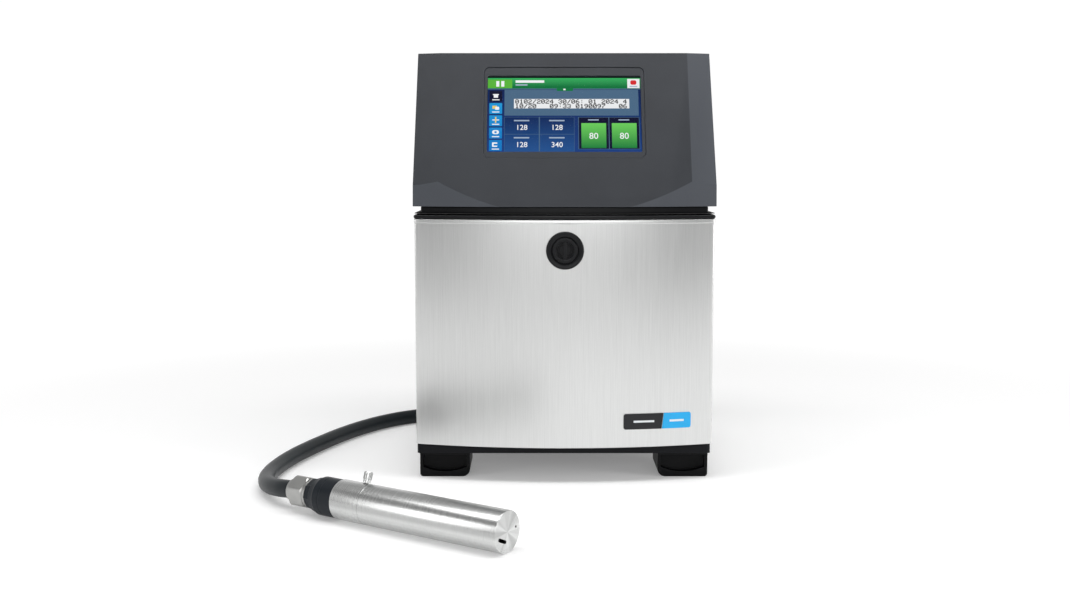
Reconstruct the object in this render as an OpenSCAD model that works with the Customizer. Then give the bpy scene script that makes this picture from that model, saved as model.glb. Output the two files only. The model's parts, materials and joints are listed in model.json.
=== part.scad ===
/* [Cabinet] */
// Width of the cabinet across its sides
cab_w = 340; // [300:1:420]
// Depth from the door's corner line back to the rear panel
cab_d = 280; // [250:1:340]
// How far the middle of the door bows in front of its corners
door_bow = 24; // [12:1:30]
// Height of the stainless door
door_h = 259; // [230:1:320]
// Thickness of the stainless sheet
sheet = 1.5; // [1:0.1:2]
// Height of the black base tray
tray_h = 12; // [10:1:16]
// Wall of the base tray
tray_wall = 3; // [2:0.5:4]
// Height of the feet
foot_h = 28; // [24:1:36]
// Width of a foot
foot_w = 58; // [45:1:64]
// Depth of a foot, front to back
foot_d = 60; // [45:1:70]
// Radius of the locating socket under each foot
socket_r = 6; // [5.5:0.5:8]
// Height of the dark recess between the cabinet and the console
neck_h = 8; // [5:1:14]

/* [Door] */
// Radius of the latch flange
latch_r = 21.2; // [19:0.1:24]
// Distance from the door's top edge down to the latch
latch_drop = 34; // [30:1:50]
// Radius of the hinge pins
hinge_pin_r = 2; // [1.5:0.1:3]
// Height of the plastic trim on the door's top edge
trim_h = 5; // [4:0.5:6]

/* [Console] */
// Height of the console
console_h = 175; // [160:1:210]
// Backward lean of the screen panel in degrees
lean = 23.8; // [18:0.1:26]
// Turn of the two side facets in degrees
facet_turn = 17; // [10:1:20]
// Width of a side facet seen from the front
facet_w = 29; // [20:1:34]
// Wall of the console moulding
console_wall = 3; // [2.5:0.1:4]
// Width of the screen opening
screen_w = 184; // [160:1:200]
// Height of the screen opening along the panel
screen_h = 114; // [100:1:120]
// Distance along the panel from its top edge to the opening
screen_drop = 18; // [14:1:26]
// Width of the lit view
view_w = 176; // [150:1:180]
// Height of the lit view along the panel
view_h = 95.5; // [80:0.5:98]
// Distance from the top of the screen opening to the view
view_drop = 10.5; // [8:0.5:12]

/* [Print head] */
// Outside diameter of the print head barrel
barrel_d = 41.3; // [38:0.1:46]
// Length of the steel barrel
barrel_len = 206; // [196:1:240]
// Wall of the barrel
barrel_wall = 1.2; // [1:0.1:1.5]
// Length of the print slot
slot_len = 14; // [9:0.5:16]
// Width of the print slot
slot_w = 3.6; // [2.5:0.1:4]
// Length of the rubber boot
boot_len = 40; // [34:1:50]
// Length of the gland nut
nut_len = 22; // [16:1:26]

/* [Umbilical] */
// Outside diameter of the hose
hose_d = 19; // [18:0.5:20]
// Radius of the stored coil at the middle of the hose
coil_r = 105; // [95:1:115]

/* [Fluid system] */
// Width of a cartridge
cart_w = 56; // [48:1:60]
// Depth of a cartridge
cart_d = 78; // [60:1:84]
// Height of a cartridge
cart_h = 112; // [90:1:116]
// Number of teeth on each pump gear
gear_teeth = 12; // [12:4:16]
// Centre distance of the pump gears
gear_pitch = 24.2; // [24.1:0.1:24.8]
// Radius of the pump shafts
pump_shaft_r = 3; // [2:0.5:4]

/* [Electronics] */
// Side of the square cooling fan
fan_w = 80; // [70:1:84]
// Depth of the fan
fan_d = 25; // [20:1:30]
// Rocking angle of the mains switch from off to on
rocker_swing = 20; // [14:1:22]

/* [Hidden] */
$fn = 64;
arc_fn = 360;

// general clearances
gap = 0.3;
running = 0.05;
far = 1000;

// heights, from the floor up
tray_top = foot_h + tray_h;
door_z = tray_top + 0.8;
door_top = door_z + door_h;
cab_top = door_top + trim_h + 1.2;
console_z = cab_top + neck_h;
console_top = console_z + console_h;

// plan positions: X across, Y from the front (negative) to the rear
half_w = cab_w / 2;
corner_y = -cab_d / 2;
rear_y = cab_d / 2;
bow_r = (half_w * half_w + door_bow * door_bow) / (2 * door_bow);
nose_y = corner_y - door_bow;
door_back_y = corner_y + 21.5;
flange_y = corner_y + 25;
tray_front_y = corner_y + 7;
hinge_y = corner_y + 4;
hinge_z = door_z + 2.2;
panel_y = corner_y + 10;
panel_t = 3;
flange_w = 12;
hinge_boss_r = 4;
ear_x = half_w - 18;
ear_t = 5;
lug_t = 4;

// feet
foot_x = half_w - 3 - foot_w / 2;
foot_y = rear_y - 9 - foot_d / 2;
socket_depth = 12;
foot_screw_r = 2.5;
foot_head_r = 5;
foot_head_h = 3;
foot_head_z = socket_depth + gap;

// latch
latch_z = door_top - latch_drop;
latch_bore_r = latch_r - 6.4;
latch_barrel_r = latch_r - 4.2;
latch_stem_r = latch_barrel_r - 5.5;
latch_shaft_r = 5;
flange_front_y = nose_y - 4;
cam_y = flange_y + sheet + 3;
cam_t = 3;
cam_len = 30;
cam_w = 11;

// console
panel_top_y = corner_y + 56;
crease_x = half_w + 1.5 - facet_w;
console_half = half_w + 1.5;
console_draft = 0.65;
screen_r = 7;
bezel_t = 6;
glass_t = 1.5;
glass_sink = 2.2;
cable_hole_r = 18;

// rear panel fittings
fan_x = half_w - 62;
fan_z = cab_top - fan_w / 2 - 12;
inlet_x = -half_w + 48;
inlet_z = cab_top - 48;
inlet_w = 28;
inlet_h = 56;
inlet_d = 25;
rocker_w = 18;
rocker_h = 26;
rocker_pin_r = 1.5;
rocker_pin = 2;
rocker_y = rear_y - 3;
data_x = -12;
data_z = cab_top - 46;
data_r = 6;
data_pitch = 26;
gland_x = -105;
gland_z = 56;
gland_len = 22;

// shelf and fluid parts
shelf_z = tray_top + 168;
shelf_t = 2;
floor_z = foot_h + tray_wall;
cart_gap = 8;
cart_x = -half_w + 18 + cart_w / 2;
cart_step = cart_w + cart_gap;
cart_y = flange_y + 14 + cart_d / 2;
holder_floor = 5;
pocket_depth = 24;
cart_z = floor_z + holder_floor;
needle_r = 2;
manifold_x = half_w - 20 - 60;
manifold_w = 120;
manifold_d = 110;
manifold_h = 26;
manifold_y = 8;
manifold_z = floor_z + 6;
manifold_top = manifold_z + manifold_h;
pump_x = manifold_x - 22;
pump_y = manifold_y - 22;
gear_out_r = 13.8;
gear_root_r = 9.7;
gear_h = 13;
pump_floor = 5;
pump_h = pump_floor + gear_h + 0.6;
pump_lid = 5;

// electronics
deck_z = shelf_z + shelf_t;
board_x = 40;
board_y = 10;
board_w = 150;
board_d = 150;
standoff_h = 8;

// print head: where its barrel starts, its heading and its roll
barrel_r = barrel_d / 2;
head_pos = [-231, -304, barrel_r];
head_yaw = -33.5;
head_roll = -20;
screw_x = 27;
screw_r = 2;
rail_r = barrel_r - barrel_wall - 1;
cap_t = 2.5;
boot_r = barrel_r - 0.6;
nut_r = 18;
ring_x = 37;
ring_w = 1.5;
ring_deep = 0.4;

// umbilical: from the cabinet gland over to the coil, then from the coil round to the head
hose_r = hose_d / 2;
coil_pos = [0, 300];
hose_sides = 12;
lead_route = [[-105, 162, 56], [-105, 182, 56], [-105, 210, 52], [-105, 240, 44], [-105, 270, 35],
    [-105, 300, 28.5]];
run_route = [[0, 195, 9.5], [-45, 195, 9.5], [-90, 194, 9.5], [-132, 190, 9.5], [-171, 180, 9.5],
    [-206, 162, 9.5], [-237, 133, 9.5], [-263, 95, 9.5], [-284, 53, 9.5], [-301, 9, 9.5],
    [-316, -36, 9.5], [-328, -82, 9.5], [-335, -127, 9.5], [-336, -168, 10], [-331, -198, 11.5],
    [-321, -226, 14.5], [-306, -249, 17.9], [-294, -261, 19.9], [-283, -269.6, 20.65]];

// ---------- shared shapes ----------

// Cabinet plan with the bowed front, drawn in by t on its front and sides
module bow_plan(t) {
    intersection() {
        translate([0, nose_y + bow_r]) circle(r = bow_r - t, $fn = arc_fn);
        translate([-half_w + t, nose_y - 5]) square([cab_w - 2 * t, cab_d + door_bow + 5]);
    }
}

// Rounded rectangle on the XY plane, centred
module round_rect(w, h, r) {
    square([w - 2 * r, h], center = true);
    square([w, h - 2 * r], center = true);
    for (x = [-1, 1], y = [-1, 1])
        translate([x * (w / 2 - r), y * (h / 2 - r)]) circle(r = r);
}

// Cylinder along +Y from y0, at x and z
module rod_y(x, y0, z, r, len) {
    translate([x, y0, z]) rotate([-90, 0, 0]) cylinder(r = r, h = len);
}

// Cylinder along +X from x0
module rod_x(x0, y, z, r, len) {
    translate([x0, y, z]) rotate([0, 90, 0]) cylinder(r = r, h = len);
}

// Axis-aligned block from its low corner to its high corner
module block(a, b) {
    translate(a) cube(b - a);
}

// Frame of the leaning screen panel: the panel is y = 0, its top edge z = 0
module on_panel() {
    translate([0, panel_top_y, console_top]) rotate([-lean, 0, 0]) children();
}

// Frame of the print head: +X runs from the barrel's rear end to its nose
module at_head() {
    translate(head_pos) rotate([0, 0, head_yaw]) rotate([head_roll, 0, 0]) children();
}

function unit(v) = v / norm(v);

function tangent(p, i) = unit(p[min(i + 1, len(p) - 1)] - p[max(i - 1, 0)]);

function ring(p, i, r, n, up) =
    let (t = tangent(p, i), s = unit(cross(t, up)), u = cross(s, t))
    [for (k = [0:n - 1]) p[i] + r * (cos(360 * k / n) * s + sin(360 * k / n) * u)];

// Round tube of radius r swept along the points p, which nowhere run along up
module sweep_tube(p, r, n, up = [0, 0, 1]) {
    last = len(p) - 1;
    points = [for (i = [0:last]) each ring(p, i, r, n, up)];
    lower = [for (i = [0:last - 1], k = [0:n - 1]) [i * n + k, i * n + (k + 1) % n, (i + 1) * n + k]];
    upper = [for (i = [0:last - 1], k = [0:n - 1])
        [i * n + (k + 1) % n, (i + 1) * n + (k + 1) % n, (i + 1) * n + k]];
    caps = [[for (k = [n - 1:-1:0]) k], [for (k = [0:n - 1]) last * n + k]];
    polyhedron(points = points, faces = concat(lower, upper, caps));
}

// ---------- base ----------

module base_tray() {
    color("#1c1d20") {
        difference() {
            translate([0, 0, foot_h]) linear_extrude(tray_h)
                translate([0, (tray_front_y + rear_y) / 2]) round_rect(cab_w, rear_y - tray_front_y, 5);
            translate([0, 0, floor_z]) linear_extrude(tray_h)
                translate([0, (tray_front_y + rear_y) / 2])
                    round_rect(cab_w - 2 * tray_wall, rear_y - tray_front_y - 2 * tray_wall, 3);
            for (x = [-1, 1], y = [-1, 1])
                translate([x * foot_x, y * foot_y, foot_h - 1]) cylinder(r = foot_screw_r, h = tray_h);
        }
        for (s = [-1, 1]) hinge_ear(s);
    }
}

// Ear on the tray that holds one hinge pin, reaching forwards of the tray's front wall
module hinge_ear(s) {
    mirror([s < 0 ? 1 : 0, 0, 0]) difference() {
        union() {
            rod_x(ear_x, hinge_y, hinge_z, hinge_boss_r, ear_t);
            block([ear_x, hinge_y, hinge_z - 3.5], [ear_x + ear_t, hinge_y + 9, hinge_z + 4]);
            block([ear_x, tray_front_y + 1, floor_z - 1], [ear_x + ear_t, hinge_y + 9, hinge_z + 4]);
        }
        rod_x(ear_x - 1, hinge_y, hinge_z, hinge_pin_r, ear_t + 2);
    }
}

// Front outline of a foot: the inner bottom corner is rounded more than the outer one
module foot_outline(w, h, inner, outer) {
    translate([0, inner]) square([w / 2, h - inner]);
    translate([w / 2, outer]) square([w / 2, h - outer]);
    translate([inner, 0]) square([w - inner - outer, h]);
    translate([inner, inner]) circle(r = inner);
    translate([w - outer, outer]) circle(r = outer);
}

module foot(side, end) {
    pocket_r = 62;
    pocket_side = 3.5;
    pocket_deep = 9;
    mirror([side < 0 ? 1 : 0, 0, 0]) mirror([0, end < 0 ? 1 : 0, 0]) difference() {
        translate([foot_x - foot_w / 2, foot_y + foot_d / 2, 0]) rotate([90, 0, 0])
            linear_extrude(foot_d) foot_outline(foot_w, foot_h, 9, 4);
        translate([foot_x, foot_y, -1]) cylinder(r = socket_r, h = socket_depth + 1);
        translate([foot_x, foot_y, 0]) cylinder(r = foot_head_r + gap, h = foot_head_z + foot_head_h);
        translate([foot_x, foot_y, 0]) cylinder(r = foot_screw_r, h = foot_h + 1);
        intersection() {
            rod_y(foot_x, foot_y + foot_d / 2 - pocket_deep, pocket_r + 6, pocket_r, pocket_deep + 2);
            block([foot_x - foot_w / 2 + pocket_side, foot_y, -1],
                [foot_x + foot_w / 2 - pocket_side, foot_y + foot_d, foot_h - 2]);
        }
    }
}

module front_feet() {
    color("#141518") for (side = [-1, 1]) foot(side, -1);
}

module rear_feet() {
    color("#141518") for (side = [-1, 1]) foot(side, 1);
}

// Screws that hold the feet: head in a recess above the foot's socket, tip level with the tray floor
module foot_screws() {
    color("#8c8f94") for (x = [-1, 1], y = [-1, 1])
        translate([x * foot_x, y * foot_y, foot_head_z]) difference() {
            union() {
                cylinder(r = foot_head_r, h = foot_head_h);
                cylinder(r = foot_screw_r, h = foot_h + tray_wall - foot_head_z);
            }
            translate([0, 0, -1]) cylinder(r = 2, h = 2.6, $fn = 6);
        }
}

// ---------- cabinet ----------

module cabinet_shell() {
    in_w = half_w - sheet;
    color("#c6c8ca") difference() {
        block([-half_w, flange_y, tray_top], [half_w, rear_y - sheet, cab_top]);
        block([-in_w, flange_y + sheet, tray_top - 1], [in_w, rear_y, cab_top - sheet]);
        block([-half_w + flange_w, flange_y - 1, tray_top - 1],
            [half_w - flange_w, flange_y + sheet + 1, door_top - 14]);
        translate([0, 60, cab_top - sheet - 1]) cylinder(r = cable_hole_r, h = sheet + 2);
    }
}

module rear_panel() {
    color("#b9bbbd") difference() {
        block([-half_w, rear_y - sheet, tray_top], [half_w, rear_y, cab_top]);
        rod_y(fan_x, rear_y - sheet - 1, fan_z, fan_w / 2 - 2, sheet + 2);
        block([inlet_x - inlet_w / 2, rear_y - sheet - 1, inlet_z - inlet_h / 2],
            [inlet_x + inlet_w / 2, rear_y + 1, inlet_z + inlet_h / 2]);
        for (i = [-1:1]) rod_y(data_x + i * data_pitch, rear_y - sheet - 1, data_z, data_r + 2, sheet + 2);
        rod_y(gland_x, rear_y - sheet - 1, gland_z, hose_r + 2, sheet + 2);
        for (p = rear_screw_places()) rod_y(p[0], rear_y - sheet - 1, p[1], 2, sheet + 2);
    }
}

function rear_screw_places() = [for (x = [-1, 0, 1], z = [tray_top + 20, cab_top - 7])
    if (x != 0 || z > shelf_z) [x * (half_w - 8), z]];

module rear_screws() {
    color("#8c8f94") for (p = rear_screw_places()) {
        rod_y(p[0], rear_y, p[1], 4, 2.2);
        rod_y(p[0], rear_y - 5, p[1], 2, 5);
    }
}

module divider_shelf() {
    in_w = half_w - sheet;
    color("#9fa3a8") {
        difference() {
            block([-in_w, flange_y + 12, shelf_z], [in_w, rear_y - sheet, deck_z]);
            translate([half_w - 30, rear_y - 60, shelf_z - 1]) cylinder(r = 12, h = shelf_t + 2);
        }
        block([-in_w, flange_y + 12, shelf_z - 10], [in_w, flange_y + 14, shelf_z]);
    }
}

// Sheet cover in front of the electronics, above the shelf
module electronics_cover() {
    in_w = half_w - sheet;
    color("#a9acb0") difference() {
        block([-in_w, flange_y + 14, deck_z], [in_w, flange_y + 15.5, cab_top - sheet]);
        for (i = [-4:4]) block([i * 14 - 3, flange_y + 13, deck_z + 22], [i * 14 + 3, flange_y + 17, deck_z + 60]);
    }
}

module door_seal() {
    seal_w = 8;
    color("#202124") difference() {
        block([-half_w + 2.5, door_back_y + 0.5, tray_top + 3],
            [half_w - 2.5, flange_y, door_top - 2]);
        block([-half_w + 2.5 + seal_w, door_back_y, tray_top + 2],
            [half_w - 2.5 - seal_w, flange_y + 1, door_top - 2 - seal_w]);
    }
}

module latch_keeper() {
    keep_y = flange_y + sheet;
    color("#8c8f94") block([-14, keep_y, door_top - 13], [14, keep_y + 2.2, door_top - 2]);
}

module neck_plinth() {
    neck_in = 7;
    color("#0e0f11") difference() {
        translate([0, 0, cab_top]) linear_extrude(neck_h) bow_plan(neck_in);
        block([-half_w + 30, corner_y + 40, cab_top - 1], [half_w - 30, rear_y - 20, console_z + 1]);
    }
}

// ---------- console ----------

// The console's outer form, drawn in by t on every side
module console_form(t) {
    intersection() {
        translate([0, 0, console_z + t]) linear_extrude(console_h - 2 * t) bow_plan(t - 1.5);
        block([-far, -far, 0], [far, rear_y - t, far]);
        on_panel() block([-far, t, -far], [far, far, far]);
        for_sides_both(t);
    }
}

// The two side facets and the two drafted sides as one convex shape
module for_sides_both(t) {
    intersection() {
        side_limits(1, t);
        side_limits(-1, t);
    }
}

module side_limits(s, t) {
    mirror([s < 0 ? 1 : 0, 0, 0]) intersection() {
        on_panel() translate([crease_x, 0, 0]) rotate([0, 0, facet_turn])
            block([-far, t, -far], [far, far, far]);
        translate([console_half - t, 0, console_z]) rotate([0, -console_draft, 0])
            block([-far, -far, -far], [0, far, far]);
    }
}

module console_shell() {
    color("#4b4e52") difference() {
        console_form(0);
        console_form(console_wall);
        on_panel() translate([0, -1, -screen_drop - screen_h / 2]) rotate([-90, 0, 0])
            linear_extrude(console_wall + 3) round_rect(screen_w, screen_h, screen_r);
        translate([0, 60, console_z - 1]) cylinder(r = cable_hole_r, h = console_wall + 2);
        for (i = [-5:5]) block([i * 16 - 5, rear_y - console_wall - 1, console_z + 60],
            [i * 16 + 5, rear_y + 1, console_z + 64]);
        for (i = [-5:5]) block([i * 16 - 5, rear_y - console_wall - 1, console_z + 74],
            [i * 16 + 5, rear_y + 1, console_z + 78]);
    }
}

// Draws a plate of the screen stack, its front face sunk below the panel
module screen_plate(w, h, sink, t, r) {
    on_panel() translate([0, sink, -screen_drop - screen_h / 2]) rotate([-90, 0, 0])
        linear_extrude(t) round_rect(w, h, r);
}

// The same, centred on the lit view
module view_plate(w, h, sink, t, r) {
    on_panel() translate([0, sink, -screen_drop - view_drop - view_h / 2]) rotate([-90, 0, 0])
        linear_extrude(t) round_rect(w, h, r);
}

module screen_bezel() {
    face_sink = 0.8;
    color("#474a4e") difference() {
        union() {
            screen_plate(screen_w - 2 * gap, screen_h - 2 * gap, face_sink, console_wall + 0.4 - face_sink,
                screen_r - gap);
            screen_plate(screen_w + 8, screen_h + 8, console_wall + 0.4, bezel_t - console_wall, screen_r + 2);
        }
        view_plate(view_w, view_h, 0, bezel_t + 3, 2);
    }
}

module touch_glass() {
    color("#23262b") view_plate(view_w - 2 * gap, view_h - 2 * gap, glass_sink, glass_t, 1.7);
}

module display_module() {
    color("#2a4f86") view_plate(view_w - 2 * gap, view_h - 2 * gap, glass_sink + glass_t + 0.1, 7, 1.7);
}

module console_board() {
    color("#1f5a3a") {
        screen_plate(screen_w - 24, screen_h - 20, 16, 1.6, 2);
        screen_plate(60, 30, 17.6, 6, 2);
        screen_plate(24, 70, 17.6, 3, 2);
    }
}

// ---------- door ----------

module door_zone(t) {
    translate([-half_w - 1, nose_y - 6]) square([cab_w + 2, door_back_y - nose_y + 6 - t]);
}

module door_skin() {
    lip_in = 9;
    color("#c9cbcd") difference() {
        union() {
            translate([0, 0, door_z]) linear_extrude(door_h) intersection() {
                difference() {
                    bow_plan(0);
                    bow_plan(sheet);
                }
                door_zone(0);
            }
            translate([0, 0, door_z]) linear_extrude(sheet) intersection() {
                difference() {
                    bow_plan(sheet / 2);
                    bow_plan(lip_in);
                }
                translate([-half_w + 30, nose_y - 1]) square([cab_w - 60, door_bow + 14]);
            }
        }
        rod_y(0, nose_y - 2, latch_z, latch_barrel_r + 0.2, 20);
    }
}

module door_trim() {
    trim_over = 1;
    trim_deep = 18;
    color("#26282b") translate([0, 0, door_top]) linear_extrude(trim_h) intersection() {
        difference() {
            bow_plan(-trim_over);
            bow_plan(trim_deep);
        }
        door_zone(0.5);
    }
}

module door_panel() {
    in_w = half_w - sheet;
    color("#2b2d30") difference() {
        union() {
            block([-in_w, panel_y, hinge_z + 14], [in_w, panel_y + panel_t, door_top - 4]);
            for (z = [hinge_z + 60, hinge_z + 120, hinge_z + 180])
                block([-in_w + 12, panel_y + panel_t, z], [in_w - 12, panel_y + panel_t + 4, z + 4]);
            for (s = [-1, 1]) hinge_lug(s);
        }
        rod_y(0, panel_y - 1, latch_z, latch_stem_r + 0.2, panel_t + 6);
        for (s = [-1, 1]) mirror([s < 0 ? 1 : 0, 0, 0])
            rod_x(ear_x - lug_t - 3, hinge_y, hinge_z, hinge_pin_r + running, ear_t + 2 * lug_t + 6);
    }
}

// Two cheeks on the door panel, one each side of the tray's ear
module hinge_lug(s) {
    mirror([s < 0 ? 1 : 0, 0, 0]) for (x = [ear_x - gap - lug_t, ear_x + ear_t + gap]) {
        rod_x(x, hinge_y, hinge_z, hinge_boss_r - 0.2, lug_t);
        block([x, hinge_y - 3.5, hinge_z], [x + lug_t, panel_y + panel_t, hinge_z + 20]);
    }
}

module hinge_pins() {
    pin_over = 1;
    color("#a8abb0") for (s = [-1, 1]) mirror([s < 0 ? 1 : 0, 0, 0])
        rod_x(ear_x - gap - lug_t - pin_over, hinge_y, hinge_z, hinge_pin_r, ear_t + 2 * (lug_t + gap + pin_over));
}

module latch_housing() {
    flange_back = nose_y - 0.05;
    stem_y = nose_y + 14;
    color("#1b1c1f") difference() {
        union() {
            rod_y(0, flange_front_y, latch_z, latch_r, flange_back - flange_front_y);
            rod_y(0, flange_back, latch_z, latch_barrel_r, stem_y - flange_back);
            rod_y(0, stem_y, latch_z, latch_stem_r, panel_y + panel_t + 2 - stem_y);
        }
        rod_y(0, flange_front_y - 1, latch_z, latch_bore_r, 9);
        rod_y(0, flange_front_y, latch_z, latch_shaft_r + running, 60);
    }
}

module latch_knob() {
    knob_r = latch_bore_r - gap;
    knob_front = flange_front_y + 0.6;
    knob_t = 7;
    color("#26282b") difference() {
        union() {
            rod_y(0, knob_front, latch_z, knob_r, knob_t);
            rod_y(0, knob_front, latch_z, latch_shaft_r, cam_y + cam_t - knob_front);
        }
        difference() {
            rod_y(0, knob_front - 1, latch_z, knob_r - 4.5, 4);
            block([-2.2, knob_front - 2, latch_z - knob_r], [2.2, knob_front + 5, latch_z + knob_r]);
        }
    }
}

module latch_cam() {
    color("#a8abb0") difference() {
        union() {
            rod_y(0, cam_y, latch_z, cam_w / 2 + 4, cam_t);
            block([0, cam_y, latch_z - cam_w / 2], [cam_len, cam_y + cam_t, latch_z + cam_w / 2]);
        }
        rod_y(0, cam_y - 1, latch_z, latch_shaft_r, cam_t + 2);
    }
}

module door_badge() {
    badge_t = 0.8;
    badge_at = 106;
    badge_w = 79;
    badge_h = 18;
    on_arc = asin(badge_at / bow_r);
    color("#1b1d21") translate([0, nose_y + bow_r, door_z + 30]) rotate([0, 0, on_arc])
        translate([0, -bow_r - badge_t, 0]) rotate([-90, 0, 0]) difference() {
            linear_extrude(badge_t + 3) round_rect(badge_w, badge_h, 3);
            translate([0, 0, badge_t + bow_r]) rotate([90, 0, 0])
                cylinder(r = bow_r + 0.05, h = 2 * badge_h, center = true, $fn = arc_fn);
        }
}

// ---------- electronics ----------

module power_supply() {
    psu = [96, 140, 42];
    at = [-half_w + 20, -60, deck_z + 3];
    color("#b3b6ba") {
        difference() {
            translate(at) cube(psu);
            for (i = [0:7], j = [0:3]) translate([at[0] + 18 + 20 * j, at[1] + 14 + 16 * i, at[2] + psu[2] - 2])
                cylinder(r = 4, h = 3);
        }
        for (x = [8, psu[0] - 14], y = [8, psu[1] - 14])
            translate([at[0] + x, at[1] + y, deck_z]) cube([6, 6, 3]);
    }
}

function board_posts() = [for (x = [-1, 1], y = [-1, 1])
    [board_x + x * (board_w / 2 - 8), board_y + y * (board_d / 2 - 8)]];

module board_standoffs() {
    color("#c2a35a") for (p = board_posts())
        translate([p[0], p[1], deck_z]) cylinder(r = 3, h = standoff_h, $fn = 6);
}

module control_board() {
    top = deck_z + standoff_h;
    color("#1f5a3a") {
        translate([board_x - board_w / 2, board_y - board_d / 2, top]) cube([board_w, board_d, 1.6]);
        translate([board_x - 20, board_y - 20, top + 1.6]) cube([40, 40, 6]);
        for (i = [0:4]) translate([board_x - 60 + 26 * i, board_y + board_d / 2 - 16, top + 1.6]) cube([18, 12, 9]);
        for (i = [0:3]) translate([board_x - 56 + 22 * i, board_y - 58, top + 1.6]) cylinder(r = 6, h = 14);
        for (i = [0:2]) translate([board_x + 40, board_y - 40 + 26 * i, top + 1.6]) cube([16, 20, 3]);
    }
}

module fan_housing() {
    fan_front = rear_y - sheet - fan_d;
    spider_y = fan_front + 0.5;
    spider_t = 2.5;
    color("#1a1b1d") difference() {
        union() {
            difference() {
                block([fan_x - fan_w / 2, fan_front, fan_z - fan_w / 2],
                    [fan_x + fan_w / 2, fan_front + fan_d, fan_z + fan_w / 2]);
                rod_y(fan_x, fan_front - 1, fan_z, fan_w / 2 - 2, fan_d + 2);
            }
            rod_y(fan_x, spider_y, fan_z, 14, spider_t);
            for (a = [30, 150, 270]) translate([fan_x, spider_y, fan_z]) rotate([0, a, 0])
                block([12, 0.2, -2.5], [fan_w / 2 - 0.5, spider_t - 0.2, 2.5]);
        }
        rod_y(fan_x, fan_front - 1, fan_z, 2 + running, 6);
        for (x = [-1, 1], z = [-1, 1])
            rod_y(fan_x + x * (fan_w / 2 - 4.5), fan_front - 1, fan_z + z * (fan_w / 2 - 4.5), 2.1, fan_d + 2);
    }
}

module fan_rotor() {
    hub_r = 14;
    hub_y = rear_y - sheet - fan_d + 4;
    hub_len = fan_d - 7;
    color("#2a2c2f") {
        rod_y(fan_x, hub_y, fan_z, hub_r, hub_len);
        rod_y(fan_x, hub_y - 3.2, fan_z, 2, 5);
        intersection() {
            rod_y(fan_x, hub_y, fan_z, fan_w / 2 - 4, hub_len);
            for (i = [0:6]) translate([fan_x, hub_y + hub_len / 2, fan_z]) rotate([0, i * 360 / 7, 0])
                rotate([38, 0, 0]) block([hub_r - 2, -10, -0.9], [fan_w / 2, 10, 0.9]);
        }
    }
}

module fan_grille() {
    t = 1.6;
    wall = 2.4;
    color("#202225") {
        for (r = [fan_w / 2 - 3, fan_w / 2 - 12, fan_w / 2 - 21])
            difference() {
                rod_y(fan_x, rear_y, fan_z, r + wall, t);
                rod_y(fan_x, rear_y - 1, fan_z, r, t + 2);
            }
        rod_y(fan_x, rear_y, fan_z, 12, t);
        for (a = [0:60:300]) translate([fan_x, rear_y, fan_z]) rotate([0, a, 0])
            block([11, 0, -1.2], [fan_w / 2 - 1.5, t, 1.2]);
        for (x = [-1, 1], z = [-1, 1]) translate([fan_x, rear_y, fan_z]) rotate([0, -45 * x * z, 0])
            block([x * fan_w / 2 * 0.5 + x * (fan_w / 2 - 2) * 0.5 - 7, 0, -3],
                [x * fan_w / 2 * 0.5 + x * (fan_w / 2 - 2) * 0.5 + 12, t, 3]);
    }
}

module mains_inlet() {
    flange_t = 2.5;
    socket_z = inlet_z - inlet_h / 4;
    window_z = inlet_z + inlet_h / 4;
    color("#17181a") {
        difference() {
            union() {
                block([inlet_x - inlet_w / 2, rear_y - inlet_d, inlet_z - inlet_h / 2],
                    [inlet_x + inlet_w / 2, rear_y, inlet_z + inlet_h / 2]);
                block([inlet_x - inlet_w / 2 - 3, rear_y, inlet_z - inlet_h / 2 - 4],
                    [inlet_x + inlet_w / 2 + 3, rear_y + flange_t, inlet_z + inlet_h / 2 + 4]);
            }
            block([inlet_x - 12, rear_y - 18, socket_z - 8], [inlet_x + 12, rear_y + 5, socket_z + 8]);
            block([inlet_x - rocker_w / 2 - gap, rear_y - 12, window_z - rocker_h / 2],
                [inlet_x + rocker_w / 2 + gap, rear_y + 5, window_z + rocker_h / 2]);
            rod_x(inlet_x - rocker_w / 2 - rocker_pin - gap, rocker_y, window_z, rocker_pin_r + running,
                rocker_w + 2 * (rocker_pin + gap));
        }
        for (p = [[-7, -2], [0, 2], [7, -2]])
            block([inlet_x + p[0] - 1, rear_y - 19, socket_z + p[1] - 2],
                [inlet_x + p[0] + 1, rear_y - 6, socket_z + p[1] + 2]);
    }
}

// Rocker of the mains switch, with a stub axle at each side
module rocker_switch() {
    window_z = inlet_z + inlet_h / 4;
    reach = rocker_h / 2 - 1.6;
    color("#8e1b1b") {
        translate([inlet_x - rocker_w / 2, rocker_y, window_z])
            rotate([-rocker_swing / 2, 0, 0]) rotate([0, 90, 0]) rotate([0, 0, 90]) linear_extrude(rocker_w)
                polygon([[-7, 0], [-4, reach * 0.6], [3, reach], [6.5, reach], [4.5, 0],
                    [6.5, -reach], [3, -reach], [-4, -reach * 0.6]]);
        rod_x(inlet_x - rocker_w / 2 - rocker_pin, rocker_y, window_z, rocker_pin_r, rocker_w + 2 * rocker_pin);
    }
}

module data_sockets() {
    color("#b8babd") for (i = [-1:1]) difference() {
        union() {
            rod_y(data_x + i * data_pitch, rear_y, data_z, data_r + 4, 3);
            rod_y(data_x + i * data_pitch, rear_y - 14, data_z, data_r + 1.8, 14);
            rod_y(data_x + i * data_pitch, rear_y + 3, data_z, data_r + 1.5, 6);
        }
        rod_y(data_x + i * data_pitch, rear_y - 6, data_z, data_r, 20);
    }
}

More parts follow.
